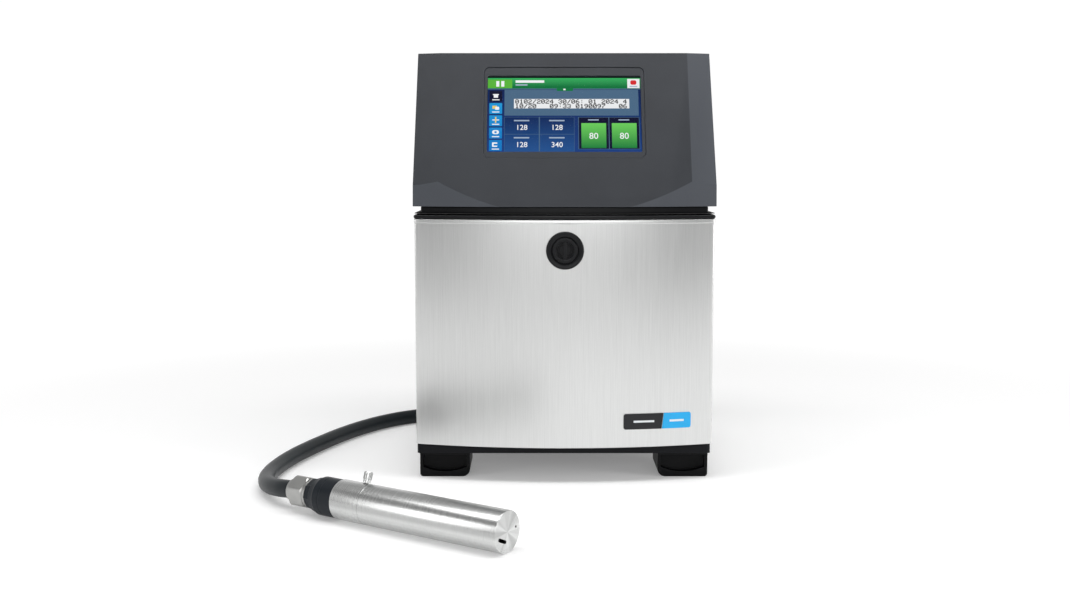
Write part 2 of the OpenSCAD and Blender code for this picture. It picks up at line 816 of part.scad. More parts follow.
module cabinet_gland() {
    color("#b4b7ba") {
        translate([gland_x, rear_y, gland_z]) rotate([-90, 0, 0]) cylinder(r = hose_r + 7, h = 10, $fn = 6);
        rod_y(gland_x, rear_y + 10, gland_z, hose_r + 4, gland_len - 10);
        rod_y(gland_x, rear_y - 14, gland_z, hose_r + 1.8, 14);
    }
}

// ---------- fluid system ----------

module fluid_manifold() {
    color("#3b3f45") {
        difference() {
            translate([manifold_x - manifold_w / 2, manifold_y - manifold_d / 2, manifold_z])
                cube([manifold_w, manifold_d, manifold_h]);
            for (i = [0:3]) translate([manifold_x - 45 + 30 * i, manifold_y - manifold_d / 2 - 1, manifold_z + 12])
                rotate([-90, 0, 0]) cylinder(r = 3, h = 12);
        }
        for (x = [-1, 1], y = [-1, 1])
            translate([manifold_x + x * (manifold_w / 2 - 8), manifold_y + y * (manifold_d / 2 - 8), floor_z])
                cylinder(r = 5, h = manifold_z - floor_z);
    }
}

module gear_pocket(h) {
    for (i = [0, 1]) translate([pump_x + i * gear_pitch, pump_y, 0]) cylinder(r = gear_out_r + 0.5, h = h);
}

module pump_housing() {
    color("#9a9da2") difference() {
        translate([pump_x - 20, pump_y - 20, manifold_top]) cube([gear_pitch + 40, 40, pump_h]);
        translate([0, 0, manifold_top + pump_floor]) gear_pocket(pump_h);
        for (i = [0, 1]) translate([pump_x + i * gear_pitch, pump_y, manifold_top + 1])
            cylinder(r = pump_shaft_r + running, h = pump_h);
    }
}

module pump_cover() {
    color("#8d9095") difference() {
        translate([pump_x - 20, pump_y - 20, manifold_top + pump_h]) cube([gear_pitch + 40, 40, pump_lid]);
        for (i = [0, 1]) translate([pump_x + i * gear_pitch, pump_y, manifold_top + pump_h - 1])
            cylinder(r = pump_shaft_r + running, h = pump_lid + 2);
    }
}

module pump_motor() {
    motor_z = manifold_top + pump_h + pump_lid;
    color("#2f3236") difference() {
        union() {
            translate([pump_x, pump_y, motor_z]) cylinder(r = 19, h = 46);
            translate([pump_x, pump_y, motor_z + 46]) cylinder(r = 8, h = 4);
        }
        translate([pump_x, pump_y, motor_z - 1]) cylinder(r = pump_shaft_r + running, h = 26);
    }
}

// Tooth outline of a pump gear, turned by phase degrees
module gear_plan(phase) {
    step = 360 / gear_teeth;
    root_half = step * 0.34;
    tip_half = step * 0.12;
    polygon([for (i = [0:gear_teeth - 1], q = [[-root_half, gear_root_r], [-tip_half, gear_out_r],
        [tip_half, gear_out_r], [root_half, gear_root_r]])
        q[1] * [cos(i * step + q[0] + phase), sin(i * step + q[0] + phase)]]);
}

module pump_drive_gear() {
    gear_z = manifold_top + pump_floor + gap;
    color("#c2c4c7") {
        translate([pump_x, pump_y, gear_z]) linear_extrude(gear_h) gear_plan(0);
        translate([pump_x, pump_y, manifold_top + 1.5])
            cylinder(r = pump_shaft_r, h = pump_h + pump_lid + 20);
    }
}

module pump_driven_gear() {
    gear_z = manifold_top + pump_floor + gap;
    color("#c2c4c7") {
        translate([pump_x + gear_pitch, pump_y, gear_z]) linear_extrude(gear_h) gear_plan(180 / gear_teeth);
        translate([pump_x + gear_pitch, pump_y, manifold_top + 1.5])
            cylinder(r = pump_shaft_r, h = pump_h + pump_lid - 2.5);
    }
}

module service_filter() {
    at = [manifold_x + 36, manifold_y + 30, manifold_top];
    color("#d9dadb") translate(at) {
        cylinder(r = 20, h = 78);
        translate([0, 0, 78]) cylinder(r = 14, h = 8);
        translate([0, 0, 86]) cylinder(r = 4, h = 6);
    }
}

module mixer_tank() {
    at = [manifold_x - 32, manifold_y + 32, manifold_top];
    color("#cfd2cf") translate(at) {
        linear_extrude(84) round_rect(52, 40, 8);
        translate([-10, 0, 84]) cylinder(r = 11, h = 8);
        translate([16, 0, 84]) cylinder(r = 4, h = 6);
    }
}

module valve_bank() {
    color("#55585d") for (i = [0:3])
        translate([manifold_x + 48, manifold_y - 46 + 16 * i, manifold_top]) {
            translate([-7, -7, 0]) cube([14, 14, 20]);
            translate([0, 0, 20]) cylinder(r = 6, h = 14);
        }
}

// Tubes from the tank cap and the filter to the valves and the cabinet gland
module fluid_tubes() {
    tube_r = 2.5;
    tank = [manifold_x - 16, manifold_y + 32, manifold_top + 90];
    filt = [manifold_x + 36, manifold_y + 30, manifold_top + 92];
    color("#d8c9a0") {
        sweep_tube([tank, tank + [0, 0, 12], tank + [8, 2, 22], tank + [22, 4, 26], tank + [38, 2, 22],
            [filt[0], filt[1] + 1, filt[2] + 12], filt], tube_r, 8, [0, 1, 0]);
        sweep_tube([[gland_x, rear_y - 14, gland_z], [gland_x, rear_y - 30, gland_z + 2],
            [gland_x + 30, rear_y - 40, gland_z + 6], [-20, rear_y - 42, gland_z + 4],
            [20, rear_y - 46, manifold_z + 14], [50, rear_y - 56, manifold_z + 12],
            [manifold_x - 20, manifold_y + manifold_d / 2, manifold_z + 12]], tube_r + 1.5, 8);
    }
}

// A cartridge that stands in its pocket over a hollow needle
module cartridge(i, tone) {
    x = cart_x + i * cart_step;
    color(tone) difference() {
        union() {
            translate([x, cart_y, cart_z]) linear_extrude(cart_h) round_rect(cart_w, cart_d, 6);
            translate([x, cart_y - 14, cart_z + cart_h]) cylinder(r = 13, h = 7);
            translate([x - 10, cart_y + 12, cart_z + cart_h]) cube([20, 12, 5]);
        }
        translate([x, cart_y, cart_z - 1]) cylinder(r = needle_r + 1, h = 16);
    }
}

module ink_cartridge() {
    cartridge(0, "#24262a");
}

module makeup_cartridge() {
    cartridge(1, "#d7dadd");
}

module cartridge_holder() {
    rim = 3;
    slack = 0.6;
    x0 = cart_x - cart_w / 2 - slack - rim;
    x1 = cart_x + cart_step + cart_w / 2 + slack + rim;
    color("#303338") {
        difference() {
            block([x0, cart_y - cart_d / 2 - slack - rim, floor_z],
                [x1, cart_y + cart_d / 2 + slack + rim, cart_z + pocket_depth]);
            for (i = [0, 1]) translate([cart_x + i * cart_step, cart_y, cart_z])
                linear_extrude(pocket_depth + 1) round_rect(cart_w + 2 * slack, cart_d + 2 * slack, 6 + slack);
        }
        for (i = [0, 1]) translate([cart_x + i * cart_step, cart_y, cart_z - 1])
            cylinder(r = needle_r, h = 13);
    }
}

// ---------- print head ----------

module gland_nut() {
    color("#b4b7ba") at_head() {
        translate([-boot_len - nut_len, 0, 0]) rotate([0, 90, 0]) cylinder(r = nut_r, h = nut_len - 3, $fn = 6);
        rod_x(-boot_len - 3, 0, 0, nut_r - 2.4, 3);
    }
}

module head_boot() {
    plug = 8;
    color("#15171a") at_head() {
        rotate([0, 90, 0]) translate([0, 0, -boot_len]) {
            cylinder(r = 15.5, h = 12, $fn = 8);
            translate([0, 0, 12]) cylinder(r1 = 16.5, r2 = boot_r, h = 10);
            translate([0, 0, 22]) cylinder(r = boot_r, h = boot_len - 22 - gap);
            translate([0, 0, boot_len - gap]) cylinder(r = barrel_r - barrel_wall - 0.6, h = plug + gap);
        }
    }
}

// Rail inside the barrel that carries the print parts, and that the thumb screw presses on
module head_chassis() {
    rail_len = barrel_len - 22;
    color("#9a9da2") at_head() difference() {
        rod_x(8, 0, 0, rail_r, rail_len - 8);
        block([48, -far, -4], [rail_len + 1, far, far]);
    }
}

module nozzle_block() {
    color("#7f8287") at_head() {
        block([52, -9, -4], [96, 9, 8]);
        rod_x(96, 0, 2, 3, 8);
        translate([66, 0, 8]) cylinder(r = 4, h = 5);
    }
}

module charge_electrode() {
    color("#c2a35a") at_head() difference() {
        block([108, -6, -4], [120, 6, 8]);
        block([107, -1, 1], [121, 1, 9]);
    }
}

module deflector_plates() {
    color("#c9cbcd") at_head() for (s = [-1, 1])
        block([124, s > 0 ? 3 : -5.5, -4], [160, s > 0 ? 5.5 : -3, 10]);
}

module ink_gutter() {
    color("#8d9095") at_head() {
        block([166, -4, -4], [180, 4, -1]);
        difference() {
            rod_x(164, 0, 1.5, 3, 14);
            rod_x(163, 0, 1.5, 1.2, 8);
        }
    }
}

// Tube with a closed nose; a shallow ring marks where the clamping stretch begins
module barrel_cover() {
    slot_at = [-8.3, -6.7];
    slot_tilt = -24;
    hole_at = [13.9, 2];
    color("#d2d4d6") at_head() difference() {
        rod_x(0, 0, 0, barrel_r, barrel_len);
        rod_x(-1, 0, 0, barrel_r - barrel_wall, barrel_len - cap_t + 1);
        rotate([-head_roll, 0, 0]) translate([barrel_len - cap_t - 1, slot_at[0], slot_at[1]])
            rotate([slot_tilt, 0, 0]) {
                block([0, -slot_len / 2 + slot_w / 2, -slot_w / 2],
                    [cap_t + 2, slot_len / 2 - slot_w / 2, slot_w / 2]);
                for (s = [-1, 1]) rod_x(0, s * (slot_len - slot_w) / 2, 0, slot_w / 2, cap_t + 2);
            }
        rotate([-head_roll, 0, 0]) rod_x(barrel_len - cap_t - 1, hole_at[0], hole_at[1], 1.4, cap_t + 2);
        translate([screw_x, 0, 0]) cylinder(r = screw_r + running, h = barrel_r + 1);
        difference() {
            rod_x(ring_x, 0, 0, barrel_r + 1, ring_w);
            rod_x(ring_x - 1, 0, 0, barrel_r - ring_deep, ring_w + 2);
        }
    }
}

module thumb_screw() {
    head_z = barrel_r + 0.5;
    color("#c6c8ca") at_head() translate([screw_x, 0, 0]) {
        translate([0, 0, rail_r + gap]) cylinder(r = screw_r, h = head_z + 1 - rail_r - gap);
        translate([0, 0, head_z]) cylinder(r = 3.2, h = 3.5);
        translate([0, 0, head_z + 3.5]) cylinder(r = 4.6, h = 7.5);
    }
}

// ---------- umbilical ----------

module umbilical_lead() {
    color("#1b1d20") sweep_tube(lead_route, hose_r, hose_sides);
}

module umbilical_run() {
    color("#1b1d20") sweep_tube(run_route, hose_r, hose_sides);
}

// Outer shape of the stored coil, two turns high
module umbilical_coil() {
    color("#1b1d20") translate([coil_pos[0], coil_pos[1], 0]) rotate_extrude($fn = 96) {
        translate([coil_r, hose_r]) circle(r = hose_r);
        translate([coil_r, 3 * hose_r]) circle(r = hose_r);
        translate([coil_r - hose_r, hose_r]) square([hose_d, hose_d]);
    }
}

base_tray();
front_feet();
rear_feet();
foot_screws();
cabinet_shell();
rear_panel();
rear_screws();
divider_shelf();
electronics_cover();
neck_plinth();
console_shell();
screen_bezel();
touch_glass();
display_module();
console_board();
door_seal();
latch_keeper();
power_supply();
control_board();
board_standoffs();
fan_housing();
fan_rotor();
fan_grille();
mains_inlet();
rocker_switch();
data_sockets();
cabinet_gland();
fluid_manifold();
pump_housing();
pump_cover();
pump_motor();
pump_drive_gear();
pump_driven_gear();
service_filter();
mixer_tank();
valve_bank();
fluid_tubes();
ink_cartridge();
makeup_cartridge();
cartridge_holder();
door_skin();
door_trim();
door_panel();
hinge_pins();
latch_housing();
door_badge();
latch_knob();
latch_cam();
gland_nut();
head_boot();
head_chassis();
nozzle_block();
charge_electrode();
deflector_plates();
ink_gutter();
barrel_cover();
thumb_screw();
umbilical_lead();
umbilical_run();
umbilical_coil();
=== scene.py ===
# %% [markdown]
# # A date code inkjet printer
# The machine is a steel cabinet on four feet, with a bowed door that drops forwards, a leaning
# touch screen console on top, and a cylindrical print head on a hose. Every moving part comes
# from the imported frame, and this lesson gives each one its true surface.

# %% Load the frame
import json
import math

import bmesh
import bpy
from mathutils import Matrix, Vector


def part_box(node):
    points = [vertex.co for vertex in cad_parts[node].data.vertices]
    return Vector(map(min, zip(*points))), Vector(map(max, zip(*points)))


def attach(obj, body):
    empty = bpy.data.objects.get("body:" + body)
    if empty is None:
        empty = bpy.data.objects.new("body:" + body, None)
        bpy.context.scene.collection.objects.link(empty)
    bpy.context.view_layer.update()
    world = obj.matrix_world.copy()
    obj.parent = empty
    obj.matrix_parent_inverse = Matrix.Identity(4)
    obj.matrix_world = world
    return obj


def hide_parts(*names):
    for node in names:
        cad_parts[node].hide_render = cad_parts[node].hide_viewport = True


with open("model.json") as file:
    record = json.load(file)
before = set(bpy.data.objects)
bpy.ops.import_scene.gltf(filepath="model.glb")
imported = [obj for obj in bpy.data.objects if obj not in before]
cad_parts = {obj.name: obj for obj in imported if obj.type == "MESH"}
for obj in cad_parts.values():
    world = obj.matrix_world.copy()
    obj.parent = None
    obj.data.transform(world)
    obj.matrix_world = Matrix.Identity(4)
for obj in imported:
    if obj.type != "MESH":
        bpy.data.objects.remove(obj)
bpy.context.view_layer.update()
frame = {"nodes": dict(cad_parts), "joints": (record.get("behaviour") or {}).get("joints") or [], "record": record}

record = frame["record"]
MM = 0.001


def mm(*place):
    """A place or a size given in millimetres."""
    return Vector(place) * MM


def shift(*place):
    """A move given in millimetres."""
    return Matrix.Translation(mm(*place))


def add_object(name, data):
    new = bpy.data.objects.new(name, data)
    bpy.context.scene.collection.objects.link(new)
    return new


# %% [markdown]
# ## The camera
# A product picture is taken a little above the object's middle with a normal lens, so upright
# edges stay nearly upright. It stands about a metre and a half in front and looks slightly down.

# %% Place the camera
camera_data = bpy.data.cameras.new("front_camera")
camera_data.lens = 42.18
camera_data.sensor_width = 36
camera = add_object("front_camera", camera_data)
look_down = 6.461
camera.location = (-0.03345, -1.55807, 0.36825)
camera.rotation_euler = (math.radians(90 - look_down), 0, 0)
bpy.context.scene.camera = camera
print("camera at", tuple(camera.location))

# %% [markdown]
# ## Measuring the frame
# A node's lowest and highest corners say where it is. For a leaning or turned part it helps to
# measure along any direction, so `span` projects a node's points on a line.

# %% Measure along any direction
def points_of(node):
    return [v.co for v in frame["nodes"][node].data.vertices]


def span(node, direction, origin=(0, 0, 0)):
    """Lowest and highest place of a node along a direction from an origin."""
    start = Vector(origin)
    along = [(p - start).dot(direction) for p in points_of(node)]
    return min(along), max(along)


def centre_of(node):
    low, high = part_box(node)
    return (low + high) / 2


def joint_axis(name):
    return Vector(next(j for j in frame["joints"] if j["name"] == name)["axis"]).normalized()


# %% [markdown]
# ## The umbilical
# The hose carries ink, solvent, high voltage and signals between cabinet and print head. It is a
# rubber-covered bundle that bends in wide curves. It leaves a gland low on the rear, keeps its
# spare length in a coil behind the cabinet, and runs round the left side to the head. One smooth
# curve through listed points is the natural way to lay it, and a loop makes the coil's turns.

# %% Lay the hose
hose_d = 19 * MM
coil_centre = mm(0, 300, 0)
coil_r = 105 * MM
coil_turns = 1.75
drop_from, drop_over = 0.75, 0.25
points_per_turn = 16
lead_route = [(-105, 162, 56), (-105, 182, 56), (-105, 210, 52), (-105, 240, 44), (-105, 270, 35)]
run_route = [(-45, 195, 9.5), (-90, 194, 9.5), (-132, 190, 9.5), (-171, 180, 9.5), (-206, 162, 9.5),
    (-237, 133, 9.5), (-263, 95, 9.5), (-284, 53, 9.5), (-301, 9, 9.5), (-316, -36, 9.5),
    (-328, -82, 9.5), (-335, -127, 9.5), (-336, -168, 10), (-331, -198, 11.5), (-321, -226, 14.5),
    (-306, -249, 17.9), (-294, -261, 19.9), (-283, -269.6, 20.65)]


def coil_point(turn):
    """A point of the coil: the first turn lies on the second, and drops to the floor after 3/4."""
    angle = math.pi - 2 * math.pi * turn
    drop = min(max((turn - drop_from) / drop_over, 0), 1)
    height = hose_d * (1.5 - drop)
    return coil_centre + Vector((coil_r * math.cos(angle), coil_r * math.sin(angle), height))


coil = [coil_point(i / points_per_turn) for i in range(int(coil_turns * points_per_turn) + 1)]
route = [mm(*p) for p in lead_route] + coil + [mm(*p) for p in run_route]
hose_data = bpy.data.curves.new("umbilical_hose", "CURVE")
hose_data.dimensions = "3D"
hose_data.bevel_depth = 1.0  # the radius of each knot gives the thickness
hose_data.bevel_resolution = 8
hose_data.resolution_u = 6
hose_data.use_fill_caps = True
spline = hose_data.splines.new("BEZIER")
spline.bezier_points.add(len(route) - 1)
for knot, place in zip(spline.bezier_points, route):
    knot.co = place
    knot.radius = hose_d / 2
    knot.handle_left_type = knot.handle_right_type = "AUTO"
hose = add_object("umbilical_hose", hose_data)
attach(hose, "cabinet")
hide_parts("umbilical_lead", "umbilical_run", "umbilical_coil")
print("hose laid through", len(route), "points")

# %% [markdown]
# ## Making a piece
# Each new piece starts as a bmesh, which is Blender's editable mesh. `make` turns it into an
# object, shades it smooth except at real corners, hangs it on the body it rides on, and hides the
# CAD nodes it stands for. A narrow Bevel modifier with hardened normals rounds the edges, because no
# moulding or folded sheet has a perfectly sharp edge, and the rounding is what catches the light.

# %% Helpers for pieces
finishes = {}
CORNER = math.radians(32)


def make(name, bm, body, slot, replaced=(), edge=0, segments=3, materials=None):
    mesh = bpy.data.meshes.new(name)
    bm.to_mesh(mesh)
    bm.free()
    piece = add_object(name, mesh)
    for material in materials or [finishes[slot]]:
        mesh.materials.append(material)
    mesh.shade_smooth()
    mesh.set_sharp_from_angle(angle=CORNER)
    if edge:
        bevel = piece.modifiers.new("edge", "BEVEL")
        bevel.width = edge
        bevel.segments = segments
        bevel.limit_method = "ANGLE"
        bevel.angle_limit = CORNER
        bevel.harden_normals = True
    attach(piece, body)
    if replaced:
        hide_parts(*replaced)
    print(name, "has", len(mesh.polygons), "faces")
    return piece


def copy_of(node):
    """A node's mesh as one joined skin: doubles merged and flat faces dissolved."""
    bm = bmesh.new()
    bm.from_mesh(frame["nodes"][node].data)
    bmesh.ops.remove_doubles(bm, verts=bm.verts, dist=0.005 * MM)
    bmesh.ops.dissolve_limit(bm, angle_limit=math.radians(0.5), verts=bm.verts, edges=bm.edges)
    return bm


def arc(x, y, r, start, end, steps=5):
    """Points on an arc, angles in degrees, for profiles."""
    angles = [math.radians(start + (end - start) * i / steps) for i in range(steps + 1)]
    return [(x + r * math.cos(a), y + r * math.sin(a)) for a in angles]


def verts_in(made):
    """The verts among the geometry that an operator returned."""
    return [v for v in made["geom"] if isinstance(v, bmesh.types.BMVert)]


def turned(profile, place, steps=96, closed=False):
    """Spins a profile of (along, radius) points, in millimetres, round the X axis of place."""
    bm = bmesh.new()
    verts = [bm.verts.new((x * MM, 0, r * MM)) for x, r in profile]
    pairs = list(zip(verts, verts[1:])) + ([(verts[-1], verts[0])] if closed else [])
    edges = [bm.edges.new(pair) for pair in pairs]
    bmesh.ops.spin(bm, geom=verts + edges, cent=(0, 0, 0), axis=(1, 0, 0), dvec=(0, 0, 0),
        angle=2 * math.pi, steps=steps, use_merge=True, use_duplicate=False)
    bmesh.ops.remove_doubles(bm, verts=bm.verts, dist=0.001 * MM)
    bmesh.ops.recalc_face_normals(bm, faces=bm.faces)
    bmesh.ops.transform(bm, matrix=place, verts=bm.verts)
    return bm


def facing(origin, direction):
    """A frame at origin whose X axis runs along direction."""
    turn = Vector(direction).to_track_quat("X", "Z").to_matrix().to_4x4()
    return Matrix.Translation(origin) @ turn


def add_block(bm, place, low, high, index=0, corner=0):
    """Adds a block between two corners in the frame of place, with its upright edges rounded."""
    low, high = Vector(low), Vector(high)
    size = high - low
    grow = Matrix.Diagonal((*size, 1))
    made = bmesh.ops.create_cube(bm, size=1, matrix=Matrix.Translation((low + high) / 2) @ grow)
    faces = {f for v in made["verts"] for f in v.link_faces}
    for face in faces:
        face.material_index = index
    verts = made["verts"]
    if corner:
        upright = [e for e in {e for v in verts for e in v.link_edges}
            if abs((e.verts[0].co - e.verts[1].co).z) > size.z / 2]
        made = bmesh.ops.bevel(bm, geom=upright, offset=corner, offset_type="OFFSET", segments=4,
            profile=0.5, affect="EDGES", clamp_overlap=True, material=-1)
        verts = list({v for f in made["faces"] for v in f.verts} | {v for v in verts if v.is_valid})
        for face in {f for v in verts for f in v.link_faces}:
            face.material_index = index
    bmesh.ops.transform(bm, matrix=place, verts=verts)


# %% [markdown]
# ## Writing materials as sums
# A material is a small calculation over the surface. The `Wire` class wraps one socket, so
# `0.3 + 0.1 * grain` adds the Math nodes by itself. `Graph.node` makes any other node from its
# type, its settings and its inputs.

# %% Sockets that can be added and multiplied
class Wire:
    def __init__(self, graph, socket):
        self.graph, self.socket = graph, socket

    def maths(self, operation, first, second):
        return self.graph.node("ShaderNodeMath", {"operation": operation}, {0: first, 1: second})

    def __add__(self, other):
        return self.maths("ADD", self, other)

    def __radd__(self, other):
        return self.maths("ADD", other, self)

    def __sub__(self, other):
        return self.maths("SUBTRACT", self, other)

    def __rsub__(self, other):
        return self.maths("SUBTRACT", other, self)

    def __mul__(self, other):
        return self.maths("MULTIPLY", self, other)

    def __rmul__(self, other):
        return self.maths("MULTIPLY", other, self)


class Graph:
    def __init__(self, tree):
        self.tree = tree
        tree.nodes.clear()

    def node(self, kind, settings=None, inputs=None, output=0):
        made = self.tree.nodes.new(kind)
        for name, value in (settings or {}).items():
            setattr(made, name, value)
        for key, value in (inputs or {}).items():
            if isinstance(value, Wire):
                self.tree.links.new(value.socket, made.inputs[key])
            else:
                made.inputs[key].default_value = value
        return Wire(self, made.outputs[output]) if len(made.outputs) else None

    def where(self, scale=(1, 1, 1), centre=(0, 0, 0), turn=(0, 0, 0)):
        """Object coordinates, measured in a frame at centre with the given turn, then scaled."""
        place = self.node("ShaderNodeTexCoord", output="Object")
        framed = self.node("ShaderNodeMapping", {"vector_type": "TEXTURE"},
            {"Vector": place, "Location": centre, "Rotation": turn})
        return self.node("ShaderNodeMapping", inputs={"Vector": framed, "Scale": scale})

    def axes(self, vector):
        """The X, Y and Z of a vector."""
        split = self.node("ShaderNodeSeparateXYZ", inputs={"Vector": vector}).socket.node
        return [Wire(self, output) for output in split.outputs]

    def noise(self, where, scale=1.0, detail=3.0, rough=0.5):
        return self.node("ShaderNodeTexNoise", inputs={"Vector": where, "Scale": scale,
            "Detail": detail, "Roughness": rough})

    def fade(self, value, low, high):
        """0 below low, 1 above high, straight between."""
        return self.node("ShaderNodeMapRange", {"clamp": True},
            {"Value": value, "From Min": low, "From Max": high})

    def blend(self, factor, first, second):
        return self.node("ShaderNodeMix", {"data_type": "RGBA"}, {0: factor, 6: first, 7: second}, 2)

    def bump(self, height, distance):
        return self.node("ShaderNodeBump",
            inputs={"Height": height, "Distance": distance, "Strength": 1.0})

    def edges(self, radius):
        """1 near convex or concave corners, where wear and dust gather, 0 on open faces."""
        rounded = self.node("ShaderNodeBevel", {"samples": 4}, {"Radius": radius})
        true = self.node("ShaderNodeNewGeometry", output="Normal")
        flatness = self.node("ShaderNodeVectorMath", {"operation": "DOT_PRODUCT"},
            {0: rounded, 1: true}, "Value")
        return self.fade(1 - flatness, 0.01, 0.2)

    def surface(self, **inputs):
        shader = self.node("ShaderNodeBsdfPrincipled",
            inputs={name.replace("_", " "): value for name, value in inputs.items()})
        self.node("ShaderNodeOutputMaterial", inputs={"Surface": shader})


def start_material(name):
    material = bpy.data.materials.new(name)
    material.use_nodes = True
    return material, Graph(material.node_tree)


def shade(colour, factor):
    """A colour made lighter or darker."""
    return tuple(min(c * factor, 1) for c in colour[:3]) + (1,)


def from_screen(r, g, b):
    """A display colour from 0 to 255 as linear light."""
    return tuple((c / 255) ** 2.2 for c in (r, g, b)) + (1,)


# %% [markdown]
# ## Steel and other metals
# Brushed sheet is scratched in one direction, so its reflections smear across the scratches. A
# noise stretched along the brushing gives the fine lines to the bump, the roughness and, faintly,
# the colour. Broad soft patches stand for handling. A turned part has the same lines as rings.

# %% Metals
def metal(g, material, colour, rough, lines, fine, depth, painted_rays=None):
    """Metal with fine parallel lines: they mark the colour, the roughness and the bump. Rays are
    painted highlights and shade: broader light and dark streaks across the lines, in the colour."""
    patches = g.noise(g.where(), 7.0, 3.0)
    both = 0.65 * lines + 0.35 * fine
    tint = g.blend(g.fade(both, 0.3, 0.7), shade(colour, 0.9), shade(colour, 1.06))
    # Painted highlights and shade: the rays make the colour 0.7 to 1.2 times as light, in broad streaks that stand
    # for the reflections of a turned finish.
    if painted_rays:
        tint = g.blend(0.2 * g.fade(both, 0.3, 0.7) + 0.8 * painted_rays, shade(colour, 0.7), shade(colour, 1.2))
    g.surface(Base_Color=tint, Metallic=1.0,
        Roughness=rough + 0.16 * (both - 0.5) + 0.04 * (patches - 0.5),
        Normal=g.bump(both, depth))
    return material


def brushed(name, colour, rough, grain, depth):
    """Sheet brushed one way; grain is how closely the pattern is packed along each axis."""
    material, g = start_material(name)
    lines = g.noise(g.where(grain), 1.0, 4.0, 0.65)
    fine = g.noise(g.where([3.1 * s for s in grain]), 1.0, 2.0)
    return metal(g, material, colour, rough, lines, fine, depth)


def lathe_turned(name, colour, rough, rings, depth, centre, turn):
    """Turned about the X axis of a frame: lines round the barrel and rings on its ends, with painted highlights as
    rays on the nose and bands along the barrel.
    """
    material, g = start_material(name)
    place = g.where(centre=centre, turn=turn)
    along = g.axes(place)[0]
    flat = g.node("ShaderNodeVectorMath", {"operation": "MULTIPLY"}, {0: place, 1: (0, 1, 1)})
    radius = g.node("ShaderNodeVectorMath", {"operation": "LENGTH"}, {0: flat}, "Value")
    track = g.node("ShaderNodeCombineXYZ", inputs={"X": along, "Y": radius})
    lines = g.noise(track, rings, 4.0, 0.65)
    fine = g.noise(track, 3.3 * rings, 2.0)
    # The spokes are painted highlights: light and dark rays on the nose and bands along the barrel, in the colour.
    spokes = g.noise(g.node("ShaderNodeVectorMath", {"operation": "NORMALIZE"}, {0: flat}), 1.7, 2.0)
    painted_rays = g.fade(spokes, 0.36, 0.64)
    return metal(g, material, colour, rough, lines, fine, depth, painted_rays)


def plated(name, colour, rough, spot_size=2.0):
    """Plated or cast metal: fine cloudy grain, with a duller film in places."""
    material, g = start_material(name)
    grain = g.noise(g.where(), 1 / (spot_size * MM), 4.0, 0.6)
    film = g.noise(g.where(), 35.0, 3.0)
    edge_mask = g.edges(0.5 * MM)
    tint = g.blend(g.fade(film, 0.35, 0.7), shade(colour, 1.05), shade(colour, 0.84))
    tint = g.blend(edge_mask * 0.4, tint, shade(colour, 1.25))
    g.surface(Base_Color=tint, Metallic=1.0, Roughness=rough + 0.18 * (film - 0.5) + 0.06 * grain,
        Normal=g.bump(grain, 0.012 * MM))
    return material


head_x = joint_axis("barrel_slide")
head_z = joint_axis("screw_turn")
head_y = head_z.cross(head_x)
head_turn = Matrix((head_x, head_y, head_z)).transposed()
head_middle = centre_of("barrel_cover")
head_rear, head_nose = span("barrel_cover", head_x, head_middle)
head = Matrix.Translation(head_middle + head_rear * head_x) @ head_turn.to_4x4()
head_euler = tuple(head_turn.to_euler())

STEEL = (0.67, 0.675, 0.67)
finishes["stainless"] = brushed("stainless_brushed", STEEL, 0.31, (1500, 1500, 14), 0.013 * MM)
finishes["polished_steel"] = lathe_turned("steel_turned", (0.6, 0.605, 0.6), 0.28, 1500, 0.003 * MM,
    tuple(head.translation), head_euler)
finishes["nickel"] = plated("nickel_satin", (0.42, 0.42, 0.41), 0.3, 1.2)
finishes["zinc"] = plated("zinc_bright", (0.64, 0.65, 0.67), 0.32, 1.6)
finishes["cast_metal"] = plated("aluminium_machined", (0.56, 0.57, 0.58), 0.38, 0.8)
finishes["brass"] = plated("brass_turned", (0.72, 0.53, 0.24), 0.3, 1.0)
print("metals ready")

# %% [markdown]
# ## Mouldings, paint and rubber
# A moulding copies the etched grain of its tool, so it gets a fine pebbled bump and a satin
# roughness that varies a little. Corners are rubbed lighter by hands; on the feet this lighter
# rim is also a painted highlight, and on the console upright faces and faces turned to the right
# are painted lighter as painted light. Powder coat is the same idea with a coarser, softer orange
# peel, and rubber is duller with a bloom of dust.

